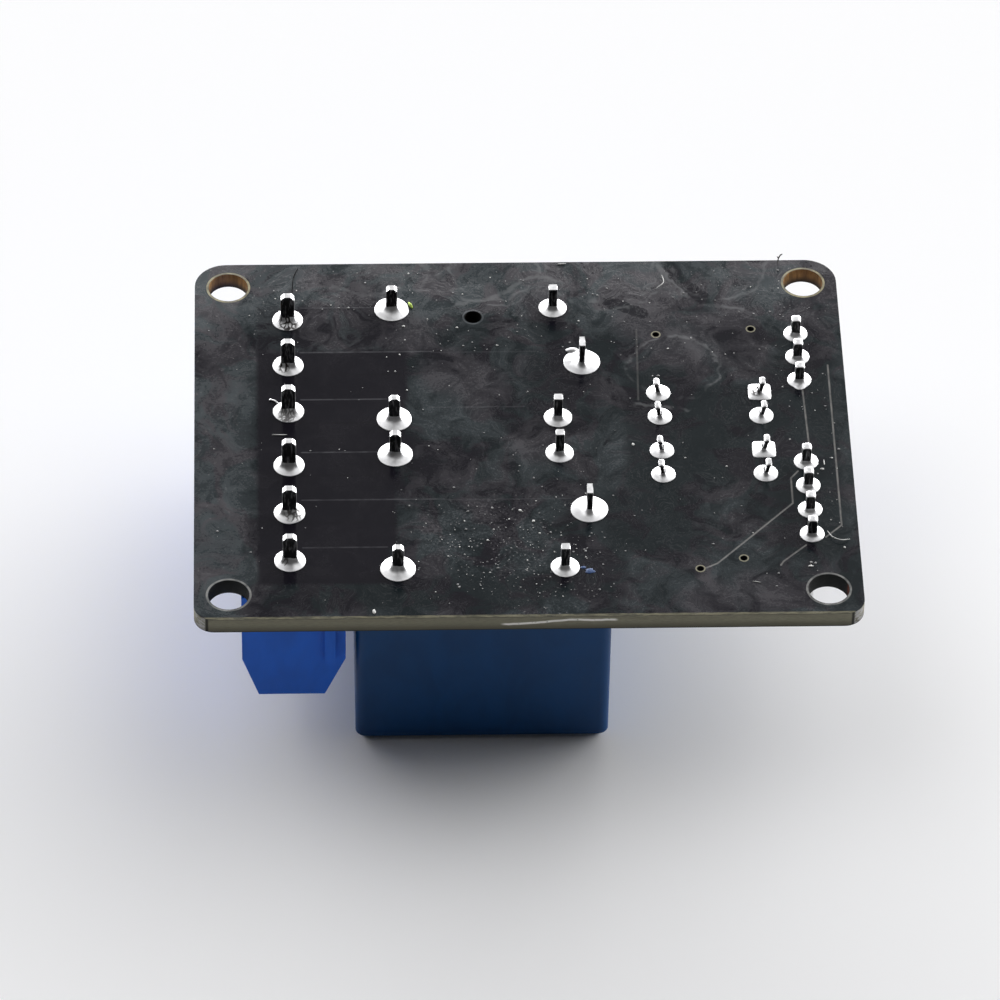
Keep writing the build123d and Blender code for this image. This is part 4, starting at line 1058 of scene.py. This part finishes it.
def pin_coat(shape, place, pin, coat, arch, lean=(0.0, 0.0), swell=0.0, seed=0.0):
    """The solder skin over a pin's free end; arch is how much of the end is rounded over its width."""
    x0, y0 = place
    width, depth, rise = pin
    half_x, half_y = width / 2 + coat, depth / 2 + coat
    top = rise - arch
    levels = [(0.02 * top, 1.0, 1.0), (0.5 * top, 1.0, 1.0), (0.8 * top, 1.0, 1.0), (top, 1.0, 1.0)]
    for turn in (0.18, 0.34, 0.50, 0.64, 0.76, 0.86, 0.94, 0.985):
        angle = turn * math.pi / 2
        levels.append((top + arch * math.sin(angle), math.cos(angle) ** 0.85, math.cos(angle) ** 0.22))
    rings = []
    for level, size_x, size_y in levels:
        ring = []
        share = level / rise
        belly = 1 + swell * math.exp(-((level - top) / 0.16) ** 2)
        for angle in circle_angles(28):
            reach = rounded_outline(half_x, half_y, angle, 5.0)
            wave = 1 + 0.04 * noise.noise(Vector((math.cos(angle), math.sin(angle), level * 1.3 + seed)))
            ring.append((x0 + lean[0] * share + math.cos(angle) * reach * size_x * wave * belly,
                         y0 + lean[1] * share + math.sin(angle) * reach * size_y * wave * belly,
                         SOLDER_FACE + min(level, rise)))
        rings.append(ring)
    shape.rings(rings, cap_last=True)


class Joints:
    """The solder fillets of one kind of part, and the solder left on its pins."""

    def __init__(self, look, seeds):
        self.look = look
        self.seeds = seeds
        self.fillets = Shape()
        self.coats = Shape()

    def add(self, place, pad, pin, height, arch, lean=(0.0, 0.0), swell=0.0, square=False, lobes=0.0):
        """One joint with its pin; the height is in metres, the rest in millimetres."""
        solder_joint(self.fillets, place, pad, pin, height / MM, self.look.hollow, next(self.seeds),
                     square, lobes)
        pin_coat(self.coats, place, pin, self.look.coat / MM, arch, lean, swell, next(self.seeds))

    def pieces(self, fillets, coats, node, solder, tinned):
        """Makes both pieces by their names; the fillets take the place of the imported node."""
        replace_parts(self.fillets.piece(fillets, solder, "solder"), node)
        self.coats.piece(coats, tinned, "solder")


def on_board(points):
    """Points whose heights are counted from the solder face."""
    return [(x, y, SOLDER_FACE + rise) for x, y, rise in points]


def reheated_finish(look):
    """Solder of the terminal joints, with burnt flux in the gaps of their reheated faces."""
    rows = TERMINAL_ROWS
    return solder_finish(look, "reheated_solder", [
        (TERMINAL_X + 0.05, rows[0] - 0.55, 0.80, 1.0, "veins"),
        (TERMINAL_X - 0.30, rows[1] - 0.45, 0.45, 1.0, "veins"),
        (TERMINAL_X - 0.10, rows[2] - 0.55, 0.75, 0.7, "veins"),
        (TERMINAL_X + 0.02, rows[3] - 0.42, 0.42, 0.8, "stain"),
        (TERMINAL_X + 0.25, rows[4] - 0.35, 0.75, 0.8, "veins"),
        (TERMINAL_X - 0.35, rows[5] - 0.40, 0.28, 0.8, "veins")])


def marked_finish(look):
    """Solder of the optocoupler joints, with a burnt squiggle on one square pad."""
    x, y = SQUARE_PADS[0]
    return solder_finish(look, "marked_solder", [(x - 0.25, y - 0.15, 0.45, 0.9, "veins")])


def terminal_joints(look, seeds):
    """The screw terminals' joints; one has a spur that was drawn off by the iron."""
    joints = Joints(look, seeds)
    for place in TERMINAL_PLACES:
        joints.add(place, TERMINAL_PAD, TERMINAL_PIN, look.terminal_height, 0.5)
    y = TERMINAL_ROWS[2]
    spur = on_board([(TERMINAL_X - 0.75, y + 0.85, 0.05), (TERMINAL_X - 1.0, y + 1.1, 0.10),
                     (TERMINAL_X - 1.3, y + 1.25, 0.07)])
    joints.fillets.tube(curved_path(spur, 4), 0.07, taper=0.6)
    joints.fillets.lump((TERMINAL_X - 1.32, y + 1.26, SOLDER_FACE + 0.07), (0.14, 0.11, 0.09), 3, 12)
    return joints


def relay_joints(look, seeds):
    """The relays' joints; a blob lies beside one of the common pins."""
    joints = Joints(look, seeds)
    for y in RELAY_PIN_ROWS:
        joints.add((CONTACT_X, y), CONTACT_PAD, CONTACT_PIN, look.contact_height, 0.4)
        joints.add((COIL_X, y), COIL_PAD, COIL_PIN, look.coil_height, 0.08)
    for place in COMMON_PLACES:
        joints.add(place, COMMON_PAD, COMMON_PIN, look.coil_height, 0.15)
    x, y = COMMON_PLACES[0]
    joints.fillets.lump((x - 0.72, y + 1.28, SOLDER_FACE + 0.05), (0.46, 0.22, 0.16), 8, 18, 0.35)
    return joints


def optocoupler_joints(look, seeds):
    """The optocouplers' joints, whose leads lean outwards."""
    joints = Joints(look, seeds)
    for x, y in OPTO_PLACES:
        lean = -0.20 if x == OPTO_COLUMNS[0] else 0.20
        joints.add((x, y), SMALL_PAD, LEAD_PIN, look.lead_height, 0.14, (lean, 0.0), 0.45,
                   square=(x, y) in SQUARE_PADS)
    return joints


def header_joints(look, seeds):
    """The headers' joints, one of which ran out in three points."""
    joints = Joints(look, seeds)
    for place in HEADER_PLACES:
        joints.add(place, SMALL_PAD, HEADER_PIN, look.header_height, 0.10,
                   lobes=0.14 if place == HEADER_PLACES[2] else 0.0)
    return joints


class RELAYBOARD_OT_joints(bpy.types.Operator):
    """Makes the solder joints and the solder left on the pins"""
    bl_idname = "relay_board.joints"
    bl_label = "Solder joints"

    def execute(self, context):
        look = context.scene.relay_board_solder
        bright, tinned = solder_finish(look), pin_finish(look)
        seeds = iter(range(1, 100))
        terminal_joints(look, seeds).pieces(
            "terminal_joints", "terminal_pin_solder", "terminal_solder", reheated_finish(look), tinned)
        relay_joints(look, seeds).pieces(
            "relay_joints", "relay_pin_solder", "relay_solder", bright, tinned)
        optocoupler_joints(look, seeds).pieces(
            "optocoupler_joints", "lead_solder", "optocoupler_solder", marked_finish(look), tinned)
        header_joints(look, seeds).pieces(
            "header_joints", "header_pin_solder", "header_solder", bright, tinned)
        return {"FINISHED"}


# Specks: how far they keep from the middles of joints and mounting holes, and the largest radius
JOINT_REACH = 1.45
HOLE_REACH = 1.8
LARGEST_SPECK = 0.12
# Fibres that lie on the board: their points, with heights above the solder face, and their radius
PALE_FIBRES = (
    ([(22.2, -10.5, 0.05), (22.5, -11.25, 0.20), (23.1, -11.65, 0.25), (23.8, -11.43, 0.10)], 0.045),
    ([(11.2, 17.4, 0.04), (11.28, 16.5, 0.12), (10.7, 15.9, 0.05)], 0.035),
    ([(3.2, 18.70, 0.05), (3.9, 18.75, 0.06)], 0.05),
    ([(-18.7, 0.27, 0.04), (-18.1, 0.22, 0.05), (-17.58, 0.25, 0.04)], 0.04),
    ([(22.38, -3.0, 0.05), (22.4, -3.55, 0.05)], 0.045),
    ([(16.4, -15.6, 0.02), (17.0, -15.75, 0.02)], 0.03),
)
REAR_FIBRE = [(20.15, 18.62, 0.04), (20.20, 18.80, 0.34), (20.34, 18.90, 0.60), (20.5, 18.93, 0.70)]
REAR_BRANCH = [(20.20, 18.80, 0.36), (20.10, 18.88, 0.52)]
DARK_HAIR = [(-16.6, 18.6, 0.03), (-17.0, 17.3, 0.06), (-17.1, 15.1, 0.04)]
GREEN_GRAIN = [(-8.22, 14.55, 0.05), (-8.10, 14.25, 0.10), (-7.96, 13.92, 0.05)]
# Flakes and smears: middle, radii and seed
PALE_FLAKES = (
    ((-11.36, -18.36, 0.02), (0.13, 0.26, 0.05), 5, 0.5),
    ((22.2, -3.95, 0.02), (0.16, 0.09, 0.06), 9, 0.4),
    ((20.75, -14.1, 0.02), (0.20, 0.10, 0.04), 12, 0.5),
)
BLUE_SMEAR = (
    ((4.52, -14.37, 0.0), (0.36, 0.26, 0.03), 12),
    ((4.05, -14.0, 0.0), (0.20, 0.14, 0.03), 15),
)


class RELAYBOARD_OT_litter(bpy.types.Operator):
    """Lays the specks, fibres and hairs that stick to the board"""
    bl_idname = "relay_board.litter"
    bl_label = "Specks and fibres"

    def execute(self, context):
        pale = moulded_finish("pale_dust", (0.62, 0.62, 0.60), 0.7)
        self.specks(context.scene.relay_board_board.specks, pale)
        self.fibres(pale)
        self.flakes(pale)
        return {"FINISHED"}

    def specks(self, count, pale):
        """Strews specks, most of them over the lower middle, the rear and the right edge."""
        draw = random.Random(17)
        grey = moulded_finish("grey_dust", (0.27, 0.27, 0.27), 0.7)
        bright, faint = Shape(), Shape()
        for number in range(count):
            zone = draw.random()
            if zone < 0.38:
                x, y = draw.gauss(-0.5, 4.2), draw.gauss(-12.2, 3.4)
            elif zone < 0.62:
                x, y = draw.uniform(-22, 22), draw.uniform(8.5, 18.2)
            elif zone < 0.72:
                x, y = draw.uniform(19.5, 23.8), draw.uniform(-16, 15)
            else:
                x, y = draw.uniform(-23.6, 23.6), draw.uniform(-18.2, 18.2)
            size = draw.lognormvariate(-3.12, 0.45)
            ratio = draw.uniform(0.5, 1.3)
            shape = bright if draw.random() < 0.36 else faint
            if abs(x) > 23.7 or not -18.4 < y < 18.3 or self.on_feature(x, y):
                continue
            over_wide_copper = -19.3 < x < -10.4 and abs(y) < 13.0
            if over_wide_copper and draw.random() < 0.75:
                continue
            size = min(size, LARGEST_SPECK)
            shape.lump((x, y, SOLDER_FACE + size * 0.15), (size, size * ratio, size * 0.45), number, 8, 0.5)
        bright.piece("bright_specks", pale, "solder")
        faint.piece("faint_specks", grey, "solder")

    def on_feature(self, x, y):
        """Whether a speck would lie in a hole or on a joint."""
        small = (*TERMINAL_PLACES, *RELAY_PLACES, *HEADER_PLACES, *OPTO_PLACES, *VIAS, SPARE_HOLE)
        return any(math.hypot(x - a, y - b) < reach
                   for places, reach in ((small, JOINT_REACH), (MOUNT_HOLES, HOLE_REACH)) for a, b in places)

    def fibres(self, pale):
        """Lays the pale fibres, the bent one at the rear edge and the dark hair."""
        fibres, bent, hair = Shape(), Shape(), Shape()
        for points, radius in PALE_FIBRES:
            fibres.tube(curved_path(on_board(points)), radius, taper=0.4)
        fibres.piece("pale_fibres", pale, "solder")
        bent.tube(curved_path(on_board(REAR_FIBRE)), 0.05, taper=0.5)
        bent.tube(curved_path(on_board(REAR_BRANCH)), 0.04, taper=0.5)
        bent.piece("rear_edge_fibre", moulded_finish("brown_fibre", (0.09, 0.085, 0.07), 0.7), "solder")
        hair.tube(curved_path(on_board(DARK_HAIR)), 0.035, taper=0.4)
        dark = moulded_finish("dark_fibre", (0.008, 0.007, 0.008), 0.7, dust=0.0, sheen=0.05)
        hair.piece("dark_hair", dark, "solder")

    def flakes(self, pale):
        """Lays the pale flakes, the green grain and the blue smear."""
        flakes, green, blue = Shape(), Shape(), Shape()
        for middle, radii, seed, roughness in PALE_FLAKES:
            flakes.lump(*on_board([middle]), radii, seed, 10, roughness)
        flakes.piece("pale_flakes", pale, "solder")
        green.tube(on_board(GREEN_GRAIN), 0.13, 10, 0.5)
        green.piece("green_grain", moulded_finish("green_grain", (0.42, 0.58, 0.08), 0.6), "solder")
        for middle, radii, seed in BLUE_SMEAR:
            blue.lump(*on_board([middle]), radii, seed, 12, 0.5)
        blue.piece("blue_smear", moulded_finish("blue_smear", (0.012, 0.06, 0.20), 0.5), "terminal_blue")


class RELAYBOARD_OT_mouldings(bpy.types.Operator):
    """Finishes the terminal housings, relay covers and the other mouldings"""
    bl_idname = "relay_board.mouldings"
    bl_label = "Mouldings"

    def execute(self, context):
        look = context.scene.relay_board_plastic
        black = (0.022, 0.022, 0.025)
        groups = {
            moulded_finish("terminal_blue", look.terminal, 0.42, dust=0.02, sheen=0.25):
                ("terminal_1_housing", "terminal_2_housing"),
            moulded_finish("relay_blue", look.relay, 0.34, relief=0.10, dust=0.02, sheen=0.2):
                ("relay_a_cover", "relay_b_cover"),
            moulded_finish("base_black", black, 0.5): ("relay_a_base", "relay_b_base"),
            moulded_finish("bobbin_white", (0.78, 0.76, 0.68), 0.5): ("relay_a_bobbin", "relay_b_bobbin"),
            moulded_finish("chip_plastic", black, 0.55, 22.0, 0.3):
                ("optocoupler_1_body", "optocoupler_2_body"),
            moulded_finish("header_black", black, 0.45): ("link_header_body", "signal_header_body"),
            moulded_finish("cap_blue", look.cap, 0.32): ("link_cap",),
            lamp_finish(): ("lamps",),
        }
        for node, reach in (("resistors", 0.35), ("diodes", 0.62), ("transistors", 0.62)):
            groups[moulded_finish(f"{node}_body", black, 0.35, metal=terminals_of(node, reach))] = (node,)
        for material, nodes in groups.items():
            for node in nodes:
                dress(node, material)
        return {"FINISHED"}


class RELAYBOARD_OT_metals(bpy.types.Operator):
    """Finishes the screws, clamps, pins, windings and relay ironwork"""
    bl_idname = "relay_board.metals"
    bl_label = "Metals"

    def execute(self, context):
        tinned = pin_finish(context.scene.relay_board_solder)
        iron = metal_finish("plated_iron", (0.56, 0.56, 0.57), 0.38, (1.0, 6.0, 1.0))
        bronze = metal_finish("spring_bronze", (0.78, 0.50, 0.24), 0.28, (0.5, 8.0, 1.0))
        nickel = metal_finish("nickel_plate", (0.70, 0.67, 0.60), 0.30, (1.0, 1.0, 0.3))
        zinc = metal_finish("zinc_plate", (0.66, 0.69, 0.73), 0.34, (1.0, 1.0, 1.0), 0.2)
        winding = winding_finish()
        for number in range(1, 7):
            dress(f"terminal_cage_{number}", nickel)
            dress(f"terminal_screw_{number}", zinc)
        for number in (1, 2):
            dress(f"terminal_{number}_contacts", tinned)
            dress(f"optocoupler_{number}_leads", tinned)
        for relay in ("relay_a", "relay_b"):
            dress(f"{relay}_winding", winding)
            for part in ("core", "yoke", "armature"):
                dress(f"{relay}_{part}", iron)
            dress(f"{relay}_contact_spring", bronze)
            for part in ("open_contact", "closed_contact", "coil_pins", "common_pin"):
                dress(f"{relay}_{part}", tinned)
        for node in ("link_header_pins", "signal_header_pins"):
            dress(node, tinned)
        dress("link_clip", bronze)
        return {"FINISHED"}


OPERATORS = (
    RELAYBOARD_OT_stage,
    RELAYBOARD_OT_board,
    RELAYBOARD_OT_joints,
    RELAYBOARD_OT_litter,
    RELAYBOARD_OT_mouldings,
    RELAYBOARD_OT_metals,
)


class RELAYBOARD_PT_panel(bpy.types.Panel):
    """Sizes, colours and steps of the relay module board"""
    bl_idname = "RELAYBOARD_PT_panel"
    bl_label = "Relay module board"
    bl_space_type = "VIEW_3D"
    bl_region_type = "UI"
    bl_category = "Relay board"

    def draw(self, context):
        for operator in OPERATORS:
            self.layout.operator(operator.bl_idname)
        for name, group in SETTINGS.items():
            box = self.layout.box()
            for key in group.__annotations__:
                box.prop(getattr(context.scene, name), key)


CLASSES = (*SETTINGS.values(), *OPERATORS, RELAYBOARD_PT_panel)


def register():
    for item in CLASSES:
        bpy.utils.register_class(item)
    for name, group in SETTINGS.items():
        setattr(bpy.types.Scene, name, PointerProperty(type=group))


def unregister():
    for name in SETTINGS:
        delattr(bpy.types.Scene, name)
    for item in reversed(CLASSES):
        bpy.utils.unregister_class(item)


def main():
    """Dresses the part piece by piece."""
    register()
    for operator in OPERATORS:
        group, name = operator.bl_idname.split(".")
        getattr(getattr(bpy.ops, group), name)()


if __name__ == "__main__":
    main()
